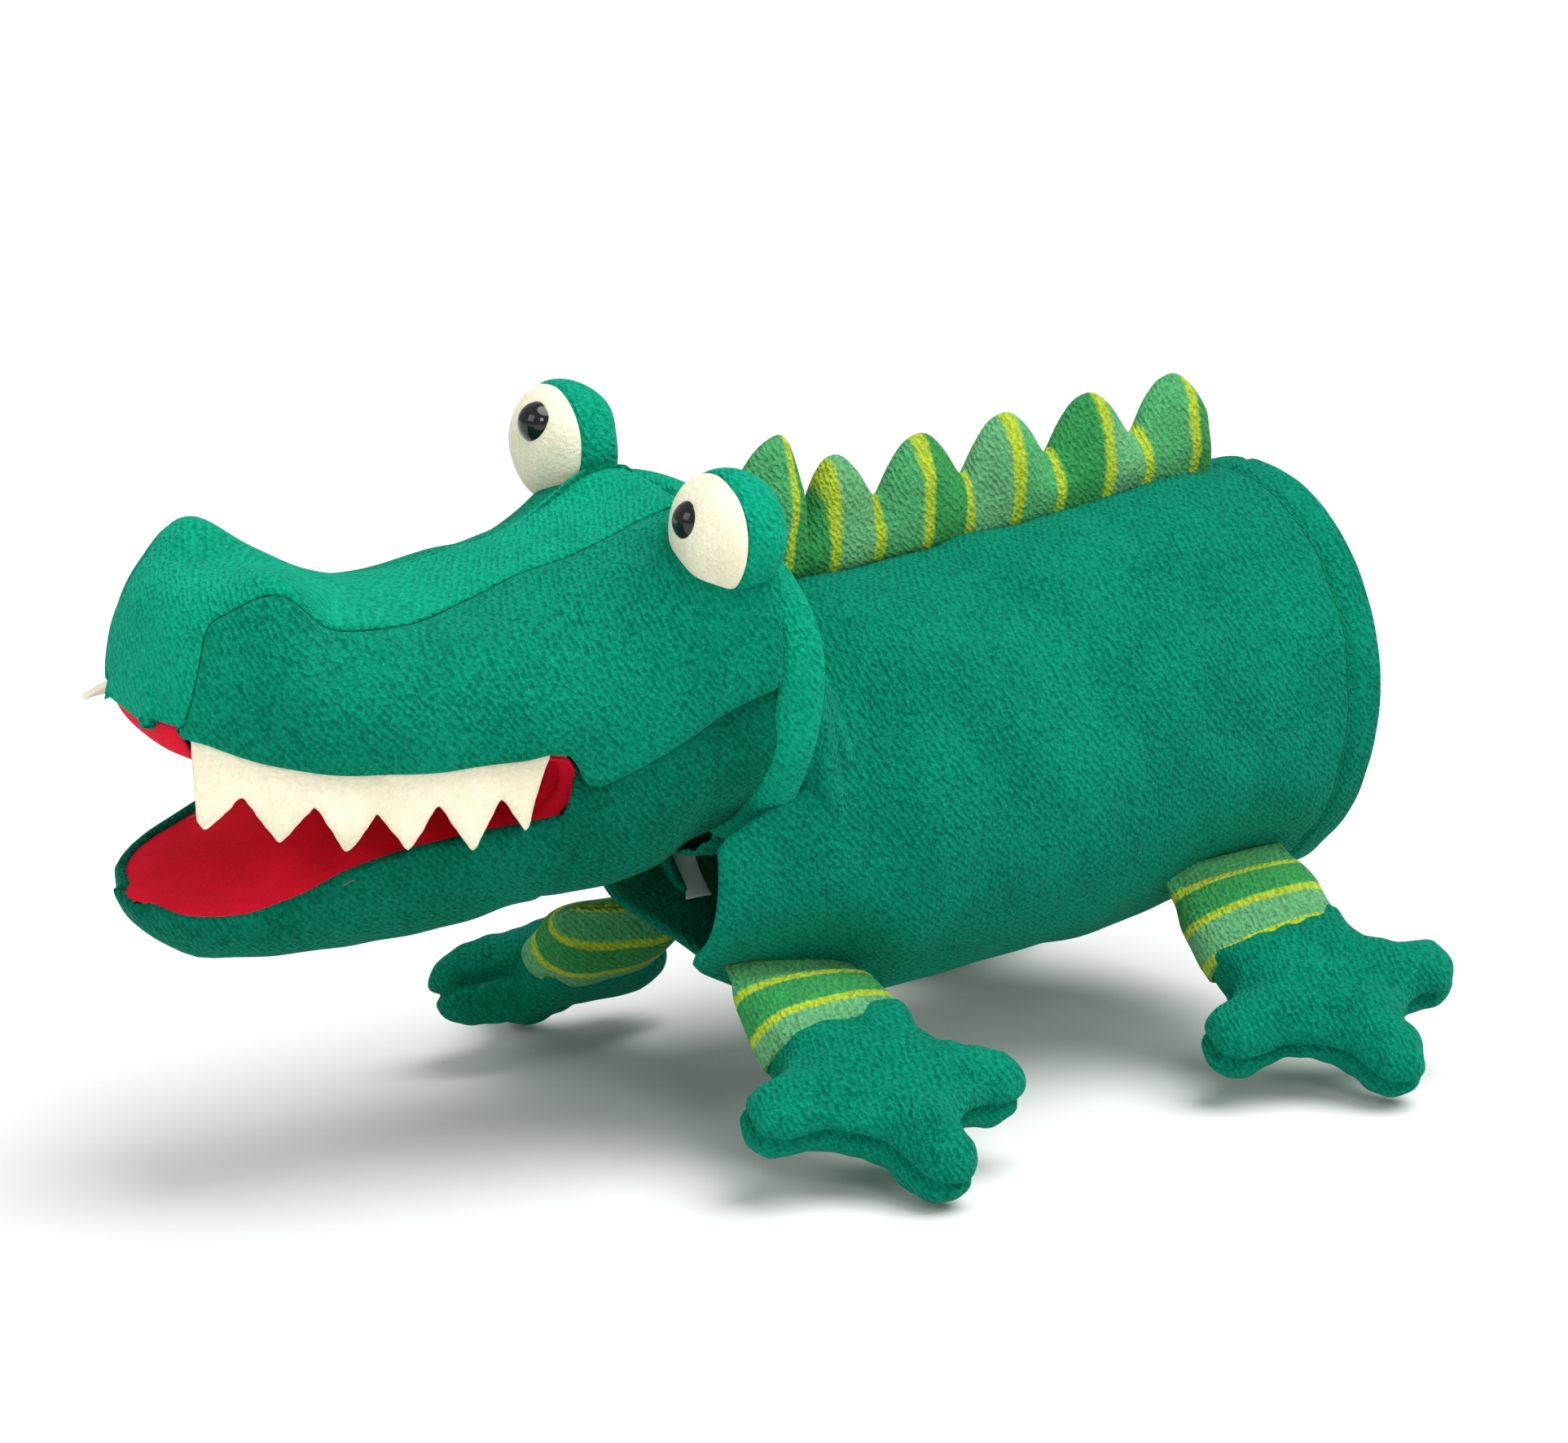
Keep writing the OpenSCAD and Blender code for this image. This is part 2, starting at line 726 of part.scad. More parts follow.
palm = 20;
module foot_form()
{
    union() {
        rotate([90, 0, 0]) cylinder(d = leg_t, h = leg_w - 2, center = true, $fn = 32);
        hull() {
            translate([1, 0, 0]) rotate([90, 0, 0])
                cylinder(d = leg_t - 2, h = leg_w - 4, center = true, $fn = 24);
            translate([palm - 4, 0, 0]) scale([1, 1.5, 0.95]) sphere(d = toe_w, $fn = sole_round);
        }
        toe(0, palm, foot_len - palm);
        toe(-toe_forward, palm - 4, side_toe_len);
        toe(toe_backward, palm - 4, side_toe_len);
    }
}

module foot(rear, upper)
{
    color(upper ? velour : velour_dark)
        at_ankle(rear) intersection() {
            foot_form();
            translate([-big / 2, -big / 2, upper ? 0 : -big]) cube(big);
        }
}

module sleeve_front_left() { leg_sleeve(false); }
module sleeve_front_right() { mirror([1, 0, 0]) leg_sleeve(false); }
module sleeve_rear_left() { leg_sleeve(true); }
module sleeve_rear_right() { mirror([1, 0, 0]) leg_sleeve(true); }
module foot_top_front_left() { foot(false, true); }
module foot_top_front_right() { mirror([1, 0, 0]) foot(false, true); }
module foot_top_rear_left() { foot(true, true); }
module foot_top_rear_right() { mirror([1, 0, 0]) foot(true, true); }
module foot_sole_front_left() { foot(false, false); }
module foot_sole_front_right() { mirror([1, 0, 0]) foot(false, false); }
module foot_sole_rear_left() { foot(true, false); }
module foot_sole_rear_right() { mirror([1, 0, 0]) foot(true, false); }

// ---------------------------------------------------------------- what is drawn

body_left();
body_right();
rear_hem();
crest_left();
crest_right();
care_label();
neck_sleeve();
wrist_lining();
head_top();
head_side_left();
head_side_right();
hood_band();
throat_panel();
upper_palate();
upper_board();
snout_filling();
finger_pocket();
teeth_left();
teeth_right();
mouth_fold_left();
mouth_fold_right();
eye_dome_left();
eye_dome_right();
eye_white_left();
eye_white_right();
eye_bead_left();
eye_bead_right();
eye_washer_left();
eye_washer_right();
jaw_panel();
jaw_palate();
jaw_board();
jaw_filling();
thumb_pocket();
sleeve_front_left();
sleeve_front_right();
sleeve_rear_left();
sleeve_rear_right();
foot_top_front_left();
foot_top_front_right();
foot_top_rear_left();
foot_top_rear_right();
foot_sole_front_left();
foot_sole_front_right();
foot_sole_rear_left();
foot_sole_rear_right();
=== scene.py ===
# %% [markdown]
# A hand puppet with a long snout and a mouth that opens, sewn from velour, felt and red cotton.
# Its frame comes from the CAD model: bodies that move, and the place and size of every piece.
# Blender adds what sewn cloth looks like: soft panels with seams, stuffing, pile and stripes.
# The sizes below are in millimetres, as on a sewing pattern, and become metres when a mesh is made.

# %% Load the frame and keep its box
import math

import bmesh
import bpy
import numpy as np
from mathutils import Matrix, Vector


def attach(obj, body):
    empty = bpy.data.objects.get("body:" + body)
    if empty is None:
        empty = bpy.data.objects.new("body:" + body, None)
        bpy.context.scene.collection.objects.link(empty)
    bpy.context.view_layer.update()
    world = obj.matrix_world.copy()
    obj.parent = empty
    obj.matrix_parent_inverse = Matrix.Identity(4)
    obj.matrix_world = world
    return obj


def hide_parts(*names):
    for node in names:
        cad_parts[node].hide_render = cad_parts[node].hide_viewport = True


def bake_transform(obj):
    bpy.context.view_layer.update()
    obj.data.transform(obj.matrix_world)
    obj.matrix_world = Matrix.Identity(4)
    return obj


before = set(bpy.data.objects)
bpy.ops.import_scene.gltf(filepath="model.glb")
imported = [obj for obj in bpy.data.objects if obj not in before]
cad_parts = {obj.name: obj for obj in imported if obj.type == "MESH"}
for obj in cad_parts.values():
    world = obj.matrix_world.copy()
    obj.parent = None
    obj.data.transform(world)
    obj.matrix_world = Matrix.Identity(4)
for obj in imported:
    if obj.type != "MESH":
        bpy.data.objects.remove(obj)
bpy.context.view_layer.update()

MM = 0.001

# %% [markdown]
# The puppet lies on a plain white table and is seen from its front left, a little from above.
# A long lens from far away keeps the snout from growing, so the camera stands 1.25 m off.
# The shift only centres the puppet in the picture.

# %% Camera
CAMERA_TURN, CAMERA_RISE, CAMERA_FAR = math.radians(54), math.radians(13), 1.25
LOOK_AT = Vector((0, 0.019, 0.100))
level = math.cos(CAMERA_RISE)
away = Vector((math.sin(CAMERA_TURN) * level, -math.cos(CAMERA_TURN) * level, math.sin(CAMERA_RISE)))
camera = bpy.data.objects.new("camera", bpy.data.cameras.new("camera"))
bpy.context.scene.collection.objects.link(camera)
camera.location = LOOK_AT + away * CAMERA_FAR
camera.rotation_euler = (-away).to_track_quat("-Z", "Y").to_euler()
camera.data.lens = 100.5
camera.data.shift_x = -0.009
camera.data.shift_y = 0.023
bpy.context.scene.camera = camera
print("camera at", [round(v, 3) for v in camera.location])

# %% [markdown]
# A pattern gives sizes at a few places only. Cloth runs smoothly from one to the next, so these
# helpers draw a smooth line through pairs of place and size, and ease one shape into another.

# %% Smooth lines between pattern sizes
def smooth(t):
    t = np.clip(t, 0, 1)
    return t * t * (3 - 2 * t)


def line_through(pairs):
    places, sizes = np.array(pairs, float).T
    slopes = np.gradient(sizes, places)

    def at(y):
        y = np.clip(np.asarray(y, float), places[0], places[-1])
        i = np.clip(np.searchsorted(places, y) - 1, 0, len(places) - 2)
        gap = places[i + 1] - places[i]
        t = (y - places[i]) / gap
        ease = t * t * (3 - 2 * t)
        lean = gap * (slopes[i] * t * (1 - t) ** 2 - slopes[i + 1] * t * t * (1 - t))
        return sizes[i] + (sizes[i + 1] - sizes[i]) * ease + lean

    return at


def rounded_power(v, power):
    return np.sign(v) * np.abs(v) ** power


def bell(distance, width):
    return np.exp(-((distance / width) ** 2))


# %% [markdown]
# Cloth is never quite smooth. Slow waves in several directions look like the soft folds of a
# stuffed skin. The same seed gives the same folds each time.

# %% Soft folds
def folds(points, length, seed, count=7):
    rng = np.random.default_rng(seed)
    total = np.zeros(points.shape[:-1])
    for _ in range(count):
        way = rng.normal(size=3)
        way /= np.linalg.norm(way)
        wave = length * rng.uniform(0.7, 1.6)
        total += np.sin(points @ way * 2 * math.pi / wave + rng.uniform(0, 2 * math.pi))
    return total / math.sqrt(count)


# %% [markdown]
# Every cloth panel starts as a grid of points. Its normals come from the grid itself, and a second
# grid, one cloth thickness further in, turns it into a closed sheet with a rounded rim. A Solidify
# modifier could do this too, but the grid keeps the rim round and the thickness exact.

# %% From a grid of points to a sheet of cloth
def grid_normals(grid, centre, closed):
    along = np.gradient(grid, axis=0)
    if closed:
        across = (np.roll(grid, -1, axis=1) - np.roll(grid, 1, axis=1)) / 2
    else:
        across = np.gradient(grid, axis=1)
    normal = np.cross(along, across)
    normal /= np.linalg.norm(normal, axis=-1, keepdims=True) + 1e-9
    outward = np.sum(normal * (grid - centre), axis=-1)
    return normal if outward.mean() > 0 else -normal


def quads(rows, cols, closed):
    wrap = cols if closed else cols - 1
    return [
        (r * cols + c, r * cols + (c + 1) % cols, (r + 1) * cols + (c + 1) % cols, (r + 1) * cols + c)
        for r in range(rows - 1)
        for c in range(wrap)
    ]


def make_piece(name, points, faces, material, marks=None):
    mesh = bpy.data.meshes.new(name)
    mesh.from_pydata([tuple(p) for p in np.asarray(points, float) * MM], [], faces)
    if marks is not None:
        layer = mesh.attributes.new("along", "FLOAT", "POINT")
        layer.data.foreach_set("value", np.asarray(marks, np.float32))
    work = bmesh.new()
    work.from_mesh(mesh)
    bmesh.ops.remove_doubles(work, verts=work.verts, dist=0.00002)
    bmesh.ops.recalc_face_normals(work, faces=work.faces)
    work.to_mesh(mesh)
    work.free()
    for face in mesh.polygons:
        face.use_smooth = True
    mesh.materials.append(material)
    piece = bpy.data.objects.new(name, mesh)
    bpy.context.scene.collection.objects.link(piece)
    return piece


def cloth(name, grid, thick, material, closed=False, centre=None, marks=None, normals=None):
    """A closed sheet: the grid, a copy one thickness further in, and a rounded rim between them."""
    rows, cols = grid.shape[:2]
    centre = grid.mean(axis=(0, 1)) if centre is None else np.array(centre, float)
    normals = grid_normals(grid, centre, closed) if normals is None else normals
    inward = -normals * thick
    inner = grid + inward
    middle = grid + inward / 2
    out = 0.4 * thick

    def pushed(line, behind):
        step = line - behind
        return line + step / (np.linalg.norm(step, axis=-1, keepdims=True) + 1e-9) * out

    size = rows * cols
    points = [grid.reshape(-1, 3), inner.reshape(-1, 3)]
    faces = quads(rows, cols, closed)
    faces += [tuple(size + i for i in reversed(f)) for f in faces]
    start = 2 * size
    rims = [(middle[0], middle[1], [c for c in range(cols)]),
            (middle[-1], middle[-2], [(rows - 1) * cols + c for c in range(cols)])]
    if not closed:
        rims += [(middle[:, 0], middle[:, 1], [r * cols for r in range(rows)]),
                 (middle[:, -1], middle[:, -2], [r * cols + cols - 1 for r in range(rows)])]
    order = []
    for line, behind, index in rims:
        points.append(pushed(line, behind))
        ring = [start + i for i in range(len(index))]
        start += len(index)
        order.append(index)
        count = len(index) if closed else len(index) - 1
        for i in range(count):
            j = (i + 1) % len(index)
            faces.append((index[i], index[j], ring[j], ring[i]))
            faces.append((ring[i], ring[j], size + index[j], size + index[i]))
    if not closed:
        ends = {0: 2 * size, 1: 2 * size + cols, 2: 2 * size + 2 * cols, 3: 2 * size + 2 * cols + rows}
        for rim, side, corner, a, b in (
            (0, 2, 0, 0, 0), (0, 3, cols - 1, cols - 1, 0),
            (1, 2, (rows - 1) * cols, 0, rows - 1), (1, 3, rows * cols - 1, cols - 1, rows - 1),
        ):
            faces.append((corner, ends[rim] + a, size + corner, ends[side] + b))
    if marks is not None:
        flat = np.asarray(marks, float).reshape(-1)
        marks = np.concatenate([flat, flat] + [flat[index] for index in order])
    return make_piece(name, np.concatenate([p.reshape(-1, 3) for p in points]), faces, material, marks)


def cloth_area(grid, closed=False):
    """Square metres of one side of a grid."""
    if closed:
        grid = np.concatenate([grid, grid[:, :1]], axis=1)
    a, b, c, d = grid[:-1, :-1], grid[:-1, 1:], grid[1:, 1:], grid[1:, :-1]
    double = np.linalg.norm(np.cross(c - a, d - b), axis=-1)
    return float(double.sum() / 2 * MM * MM)


def sewn(grid, closed=False):
    """Measures the area of one side of a sheet; nothing uses the number."""
    area = cloth_area(grid, closed)


# %% [markdown]
# Where two panels are sewn together, both edges roll down into the seam. The columns of a panel
# stand closer together near its edges, so that the roll is round.

# %% Edges that roll into a seam
ROLL_STEPS = [0, 0.12, 0.35, 0.65, 1]


def panel_steps(count, edge):
    """Places from 0 to 1 across a panel, closer together within edge of both ends."""
    low = [edge * s for s in ROLL_STEPS]
    return np.array(low[:-1] + list(np.linspace(edge, 1 - edge, count)) + [1 - s for s in low[-2::-1]])


def roll_in(t, edge, depth, ends=(True, True)):
    """How far a panel sinks at a place t across it."""
    near = np.minimum(t if ends[0] else 1.0, (1 - t) if ends[1] else 1.0)
    s = np.clip(near / edge, 0, 1)
    return depth * (1 - np.sqrt(np.clip(1 - (1 - s) ** 2, 0, 1)))


# %% [markdown]
# The finishes are built from nodes. Sums of sockets read badly as nodes, so this small class lets
# them be written as sums, and one method makes any other node with its settings and inputs.

# %% Sums of sockets, written as sums
class Wire:
    def __init__(self, finish, socket):
        self.finish, self.socket = finish, socket

    def math(self, operation, first, second=0.0):
        return self.finish.node("ShaderNodeMath", {"operation": operation}, {0: first, 1: second})[0]

    def __add__(self, other):
        return self.math("ADD", self, other)

    def __sub__(self, other):
        return self.math("SUBTRACT", self, other)

    def __mul__(self, other):
        return self.math("MULTIPLY", self, other)

    def __truediv__(self, other):
        return self.math("DIVIDE", self, other)

    def __rsub__(self, other):
        return self.math("SUBTRACT", other, self)

    __radd__ = __add__
    __rmul__ = __mul__


class Finish:
    """A material with one Principled shader, and the nodes that vary it."""

    def __init__(self, name, **constants):
        self.material = bpy.data.materials.new(name)
        self.material.use_nodes = True
        self.tree = self.material.node_tree
        self.shader = self.tree.nodes["Principled BSDF"]
        for socket, value in constants.items():
            self.shader.inputs[socket.replace("_", " ")].default_value = value

    def node(self, kind, settings, inputs):
        made = self.tree.nodes.new(kind)
        for key, value in settings.items():
            setattr(made, key, value)
        for key, value in inputs.items():
            if isinstance(value, Wire):
                self.tree.links.new(value.socket, made.inputs[key])
            else:
                made.inputs[key].default_value = value
        return [Wire(self, socket) for socket in made.outputs]

    def place(self):
        return self.node("ShaderNodeTexCoord", {}, {})[3]

    def noise(self, scale, detail=2.0, rough=0.5):
        inputs = {"Vector": self.place(), "Scale": scale, "Detail": detail, "Roughness": rough}
        return self.node("ShaderNodeTexNoise", {}, inputs)[0]

    def cells(self, scale):
        return self.node("ShaderNodeTexVoronoi", {}, {"Vector": self.place(), "Scale": scale})[0]

    def between(self, share, first, second):
        """A colour between two, by a share from 0 to 1."""
        mix = self.tree.nodes.new("ShaderNodeMix")
        mix.data_type = "RGBA"
        self.tree.links.new(share.socket, mix.inputs["Factor"])
        for key, value in (("A", first), ("B", second)):
            socket = [s for s in mix.inputs if s.name == key and s.type == "RGBA"][0]
            if isinstance(value, Wire):
                self.tree.links.new(value.socket, socket)
            else:
                socket.default_value = (*value, 1)
        return Wire(self, [s for s in mix.outputs if s.type == "RGBA"][0])

    def spread(self, value, low, high):
        """Stretches the values from low to high over 0 to 1."""
        return self.node("ShaderNodeMapRange", {}, {"Value": value, "From Min": low, "From Max": high})[0]

    def feed(self, socket, wire):
        self.tree.links.new(wire.socket, self.shader.inputs[socket])

    def bump(self, height, distance, strength=1.0):
        inputs = {"Height": height, "Distance": distance, "Strength": strength}
        self.feed("Normal", self.node("ShaderNodeBump", {}, inputs)[0])


# %% [markdown]
# Velour is a knitted cloth whose loops are cut to a short pile. The pile lies in patches, which
# look lighter or darker, and catches light at grazing angles, which the sheen does. The fine grain
# of the pile is a bump about a millimetre wide.

# %% Velour
PILE_GRAIN = 820
NAP_PATCH = 34
KNIT_RIBS = 240
PILE_DEEP = 0.0013


def pile(finish):
    """Height and shade of the pile: fine tufts in slanting knitted ribs."""
    grain = finish.noise(PILE_GRAIN, 2.0, 0.6)
    tuft = finish.cells(PILE_GRAIN * 0.8)
    ribs = finish.node("ShaderNodeTexWave", {"bands_direction": "DIAGONAL"},
                       {"Vector": finish.place(), "Scale": KNIT_RIBS, "Distortion": 5.0, "Detail": 2.0,
                        "Detail Scale": 1.5})[1]
    return grain * 0.9 - tuft * 0.45 + ribs * 0.22


def velour(name, dark, light, sheen_tint):
    cloth_finish = Finish(name, Roughness=0.95, Sheen_Weight=0.16, Sheen_Roughness=0.35,
                          Sheen_Tint=(*sheen_tint, 1), Specular_IOR_Level=0.05)
    nap = cloth_finish.noise(NAP_PATCH, 3.0, 0.55)
    tufts = pile(cloth_finish)
    share = cloth_finish.spread(nap * 0.6 + tufts * 1.0, 0.35, 0.92)
    cloth_finish.feed("Base Color", cloth_finish.between(share, dark, light))
    cloth_finish.bump(tufts, PILE_DEEP, 1.0)
    return cloth_finish.material


NAP_SHINE = (0.1, 1.0, 0.75)
# The same green velour comes in four copies. The body's is the plain one. A lighter one carries painted light for the
# surfaces that face up, a darker one carries painted shade for the head's sides and the tunnel, partly the nap lying
# another way, and the darkest carries painted shade for the throat and jaw.
velour_painted_light = velour("velour_painted_light", (0.0, 0.20, 0.108), (0.003, 0.36, 0.21), NAP_SHINE)
velour_painted_shade = velour("velour_painted_shade", (0.0, 0.13, 0.07), (0.002, 0.27, 0.155), NAP_SHINE)
velour_body = velour("velour_body", (0.0, 0.12, 0.068), (0.0015, 0.25, 0.146), NAP_SHINE)
velour_underside_shade = velour("velour_underside_shade", (0.0, 0.082, 0.044), (0.001, 0.17, 0.098), NAP_SHINE)
print("velour finishes", [m.name for m in (velour_painted_light, velour_painted_shade, velour_body, velour_underside_shade)])

# %% [markdown]
# The crest and the legs are cut from a striped velour: narrow lime lines between bands of green.
# The stripes run across each piece, so every point carries its distance along the piece, and the
# finish turns that distance into a colour. A little noise makes the stripe edges fuzzy.

# %% Striped velour
STRIPE_STEP = 16.5
STRIPE_WIDTH = 3.4
LIME = (0.42, 0.56, 0.04)
BANDS = [(0.075, 0.38, 0.14), (0.035, 0.29, 0.08), (0.13, 0.42, 0.18)]


def striped_velour(name):
    stripes = Finish(name, Roughness=0.95, Sheen_Weight=0.14, Sheen_Roughness=0.35,
                     Sheen_Tint=(0.6, 1.0, 0.4, 1), Specular_IOR_Level=0.05)
    along = stripes.node("ShaderNodeAttribute", {"attribute_name": "along"}, {})[2]
    wobble = stripes.noise(500, 2.0) * 1.4
    turn = (along + wobble) / (STRIPE_STEP * len(BANDS))
    turn = turn.math("FRACT", turn)
    ramp = stripes.tree.nodes.new("ShaderNodeValToRGB")
    stripes.tree.links.new(turn.socket, ramp.inputs[0])
    ramp.color_ramp.interpolation = "LINEAR"
    edge = 0.022
    width = STRIPE_WIDTH / (STRIPE_STEP * len(BANDS))
    stops = []
    for i, band in enumerate(BANDS):
        start = i / len(BANDS)
        stops += [(start + edge, LIME), (start + width, LIME), (start + width + edge, band),
                  (start + 1 / len(BANDS) - 0.001, band)]
    ramp.color_ramp.elements[0].position, ramp.color_ramp.elements[0].color = 0, (*LIME, 1)
    ramp.color_ramp.elements[1].position, ramp.color_ramp.elements[1].color = 1, (*BANDS[-1], 1)
    for place, colour in stops:
        ramp.color_ramp.elements.new(place).color = (*colour, 1)
    colour = Wire(stripes, ramp.outputs[0])
    tufts = pile(stripes)
    shade = stripes.spread(tufts + stripes.noise(NAP_PATCH, 3.0) * 0.8, 1.1, 0.35)
    dimmed = stripes.node("ShaderNodeMix", {"data_type": "RGBA", "blend_type": "MULTIPLY"}, {0: 1.0})
    mix = dimmed[2].socket.node
    stripes.tree.links.new(colour.socket, mix.inputs[6])
    grey = stripes.between(shade, (1.15, 1.15, 1.15), (0.55, 0.55, 0.55))
    stripes.tree.links.new(grey.socket, mix.inputs[7])
    stripes.feed("Base Color", dimmed[2])
    stripes.bump(tufts, PILE_DEEP, 1.0)
    return stripes.material


velour_stripes = striped_velour("velour_stripes")
print("stripe every", STRIPE_STEP, "mm")

# %% [markdown]
# The mouth is lined with plain red cotton, woven so finely that only a faint grain shows. The teeth
# and the whites of the eyes are cream felt, which is matted wool with a soft uneven surface. The
# beads are glossy black plastic. Board, washers and padding are hidden, but they get finishes too.

# %% Cotton, felt, beads and what is hidden
def plain_cloth(name, dark, light, grain, depth, **constants):
    made = Finish(name, Roughness=0.9, Specular_IOR_Level=0.2, **constants)
    fine = made.noise(grain, 3.0, 0.65)
    patch = made.noise(60, 2.0)
    share = made.spread(fine * 0.7 + patch * 0.5, 0.35, 0.85)
    made.feed("Base Color", made.between(share, dark, light))
    made.bump(fine, depth, 0.7)
    return made.material


red_cotton = plain_cloth("red_cotton", (0.5, 0.001, 0.013), (0.82, 0.005, 0.036), 1800, 0.0003)
cream_felt = plain_cloth("cream_felt", (0.72, 0.66, 0.46), (0.92, 0.87, 0.68), 700, 0.0009,
                         Sheen_Weight=0.3)
label_tape = plain_cloth("label_tape", (0.8, 0.8, 0.8), (0.95, 0.95, 0.95), 2500, 0.0001)
white_wadding = plain_cloth("white_wadding", (0.7, 0.7, 0.68), (0.9, 0.9, 0.88), 400, 0.0015)
grey_board = plain_cloth("grey_board", (0.2, 0.17, 0.12), (0.3, 0.27, 0.2), 900, 0.0002)
grey_plastic = plain_cloth("grey_plastic", (0.25, 0.25, 0.25), (0.35, 0.35, 0.35), 300, 0.0001)
green_thread = plain_cloth("green_thread", (0.0, 0.13, 0.07), (0.0, 0.2, 0.11), 3000, 0.0001)


def glossy_black():
    bead = Finish("glossy_black", Metallic=0.0, Specular_IOR_Level=0.3, Coat_Weight=0.35, Coat_Roughness=0.03)
    scuff = bead.noise(900, 2.0)
    bead.feed("Roughness", bead.spread(scuff, -2.0, 9.0) * 0.4)
    bead.feed("Base Color", bead.between(scuff, (0.004, 0.004, 0.005), (0.009, 0.009, 0.011)))
    return bead.material


bead_black = glossy_black()
print("finishes", len(bpy.data.materials))

# %% [markdown]
# The body is a wide tube of velour that the arm goes into. Its rear rim is turned in and stitched
# about 12 mm from the edge, and under the throat the front edge runs forward. One closed sheet
# stands for both body panels. Its points are pulled in along the stitching and where the legs are
# sewn on, and pushed about by slow folds.

# %% The body's form
BODY_REAR = 189
BODY_WALL = 3.0
HEM_DEEP = 12
ARM_ROOM = 63.5


def body_half(y):
    return 60 - 6 * smooth((25 - y) / 25)


def body_mid(y):
    return 88.6 + math.tan(math.radians(5.7)) * y


def body_point(y, angle, off=0.0):
    rise = np.maximum(0, 24 - y) * 0.35 * np.maximum(0, -np.sin(angle))
    z = body_mid(y) + (ARM_ROOM - off) * np.sin(angle) + rise
    return np.stack([(body_half(y) - off) * np.cos(angle), y + 0 * angle, z], axis=-1)


def body_front(angle):
    """Where the front edge runs: far forward on the left, and a little where the right leg is sewn on."""
    turn = (np.degrees(angle) + 180) % 360 - 180
    left = -45 * smooth((24 - turn) / 16) * smooth((turn + 88) / 50)
    right = -15 * (smooth((-turn - 115) / 45) + smooth((turn - 156) / 16)) - 17 * bell(turn + 136, 20)
    return left + right + 4 * smooth((-turn - 40) / 60)


def hip_point(rear, out=3.0):
    y = 144 if rear else -12
    return body_point(np.array(float(y)), np.array(math.radians(-44)), -out)


# %% Body skin
body_angles = np.linspace(0, 2 * math.pi, 168, endpoint=False)
from_rear = [0, 0.4, 1.2, 2.4, 4, 6.5, 9, 10.4, 11.2, 11.7, 12, 12.3, 12.8, 13.6, 15, 18, 22]
rows_front = np.linspace(0, 1, 64)
body_rows = []
for share in rows_front:
    start = body_front(body_angles)
    body_rows.append(start + (BODY_REAR - from_rear[-1] - start) * share)
body_rows += [np.full_like(body_angles, BODY_REAR - d) for d in reversed(from_rear[:-1])]
body_y = np.array(body_rows)
body_grid = body_point(body_y, np.broadcast_to(body_angles, body_y.shape))
body_axis = np.stack([0 * body_y, body_y, body_mid(body_y)], axis=-1)
body_out = body_grid - body_axis
body_out /= np.linalg.norm(body_out, axis=-1, keepdims=True)
from_rim = BODY_REAR - body_y


def body_relief(points, freedom):
    """The slow folds of the body skin, and the dents where the legs pull at it."""
    relief = (1.5 * folds(points, 75, 11) + 0.5 * folds(points, 26, 12)) * freedom
    for rear in (False, True):
        for side in (1, -1):
            gap = (points - hip_point(rear, 0) * [side, 1, 1]) * [1, 0.55, 1]
            relief -= 2.6 * bell(np.linalg.norm(gap, axis=-1), 15)
    return relief


push = body_relief(body_grid, smooth(from_rim / 30) * 0.75 + 0.25)
push -= 0.9 * bell(from_rim - HEM_DEEP, 1.1)
push += 0.5 * smooth((HEM_DEEP - from_rim) / 4) + 0.35 * folds(body_grid, 14, 13) * bell(from_rim - 9, 8)
push -= 1.6 * (1 - np.sqrt(np.clip(1 - np.clip(1 - from_rim / 1.6, 0, 1) ** 2, 0, 1)))
push -= 1.0 * bell(np.abs(body_grid[..., 0]), 1.6)
body_grid = body_grid + body_out * push[..., None]
body_skin = cloth("body_skin", body_grid, BODY_WALL, velour_body, closed=True)
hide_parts("body_left", "body_right")
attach(body_skin, "torso")
sewn(body_grid, closed=True)
print("body skin", len(body_skin.data.polygons), "faces")

# %% Turned-in hem
hem_y = np.linspace(BODY_REAR - HEM_DEEP - 1, BODY_REAR - 1.2, 8)
hem_grid = body_point(hem_y[:, None], np.broadcast_to(body_angles, (8, len(body_angles))), BODY_WALL + 0.4)
hem_grid += body_out[-8:] * (0.4 * folds(hem_grid, 16, 15))[..., None]
hem = cloth("hem", hem_grid, 1.5, velour_body, closed=True)
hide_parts("rear_hem")
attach(hem, "torso")
sewn(hem_grid, closed=True)

# %% [markdown]
# The head's pattern is straight. On the finished puppet it leans over and turns a little at the
# wrist, so every head point is made straight and then turned, as in the CAD source.

# %% The head's form
WRIST = np.array([0.0, -16.0, 106.0])
LEAN, TURN = math.radians(9), math.radians(-3)
LEANED = np.array([[math.cos(LEAN), 0, math.sin(LEAN)], [0, 1, 0], [-math.sin(LEAN), 0, math.cos(LEAN)]])
TURNED = np.array([[math.cos(TURN), -math.sin(TURN), 0], [math.sin(TURN), math.cos(TURN), 0], [0, 0, 1]])
HEAD_POSE = TURNED @ LEANED


def posed(points):
    return (np.asarray(points, float) - WRIST) @ HEAD_POSE.T + WRIST


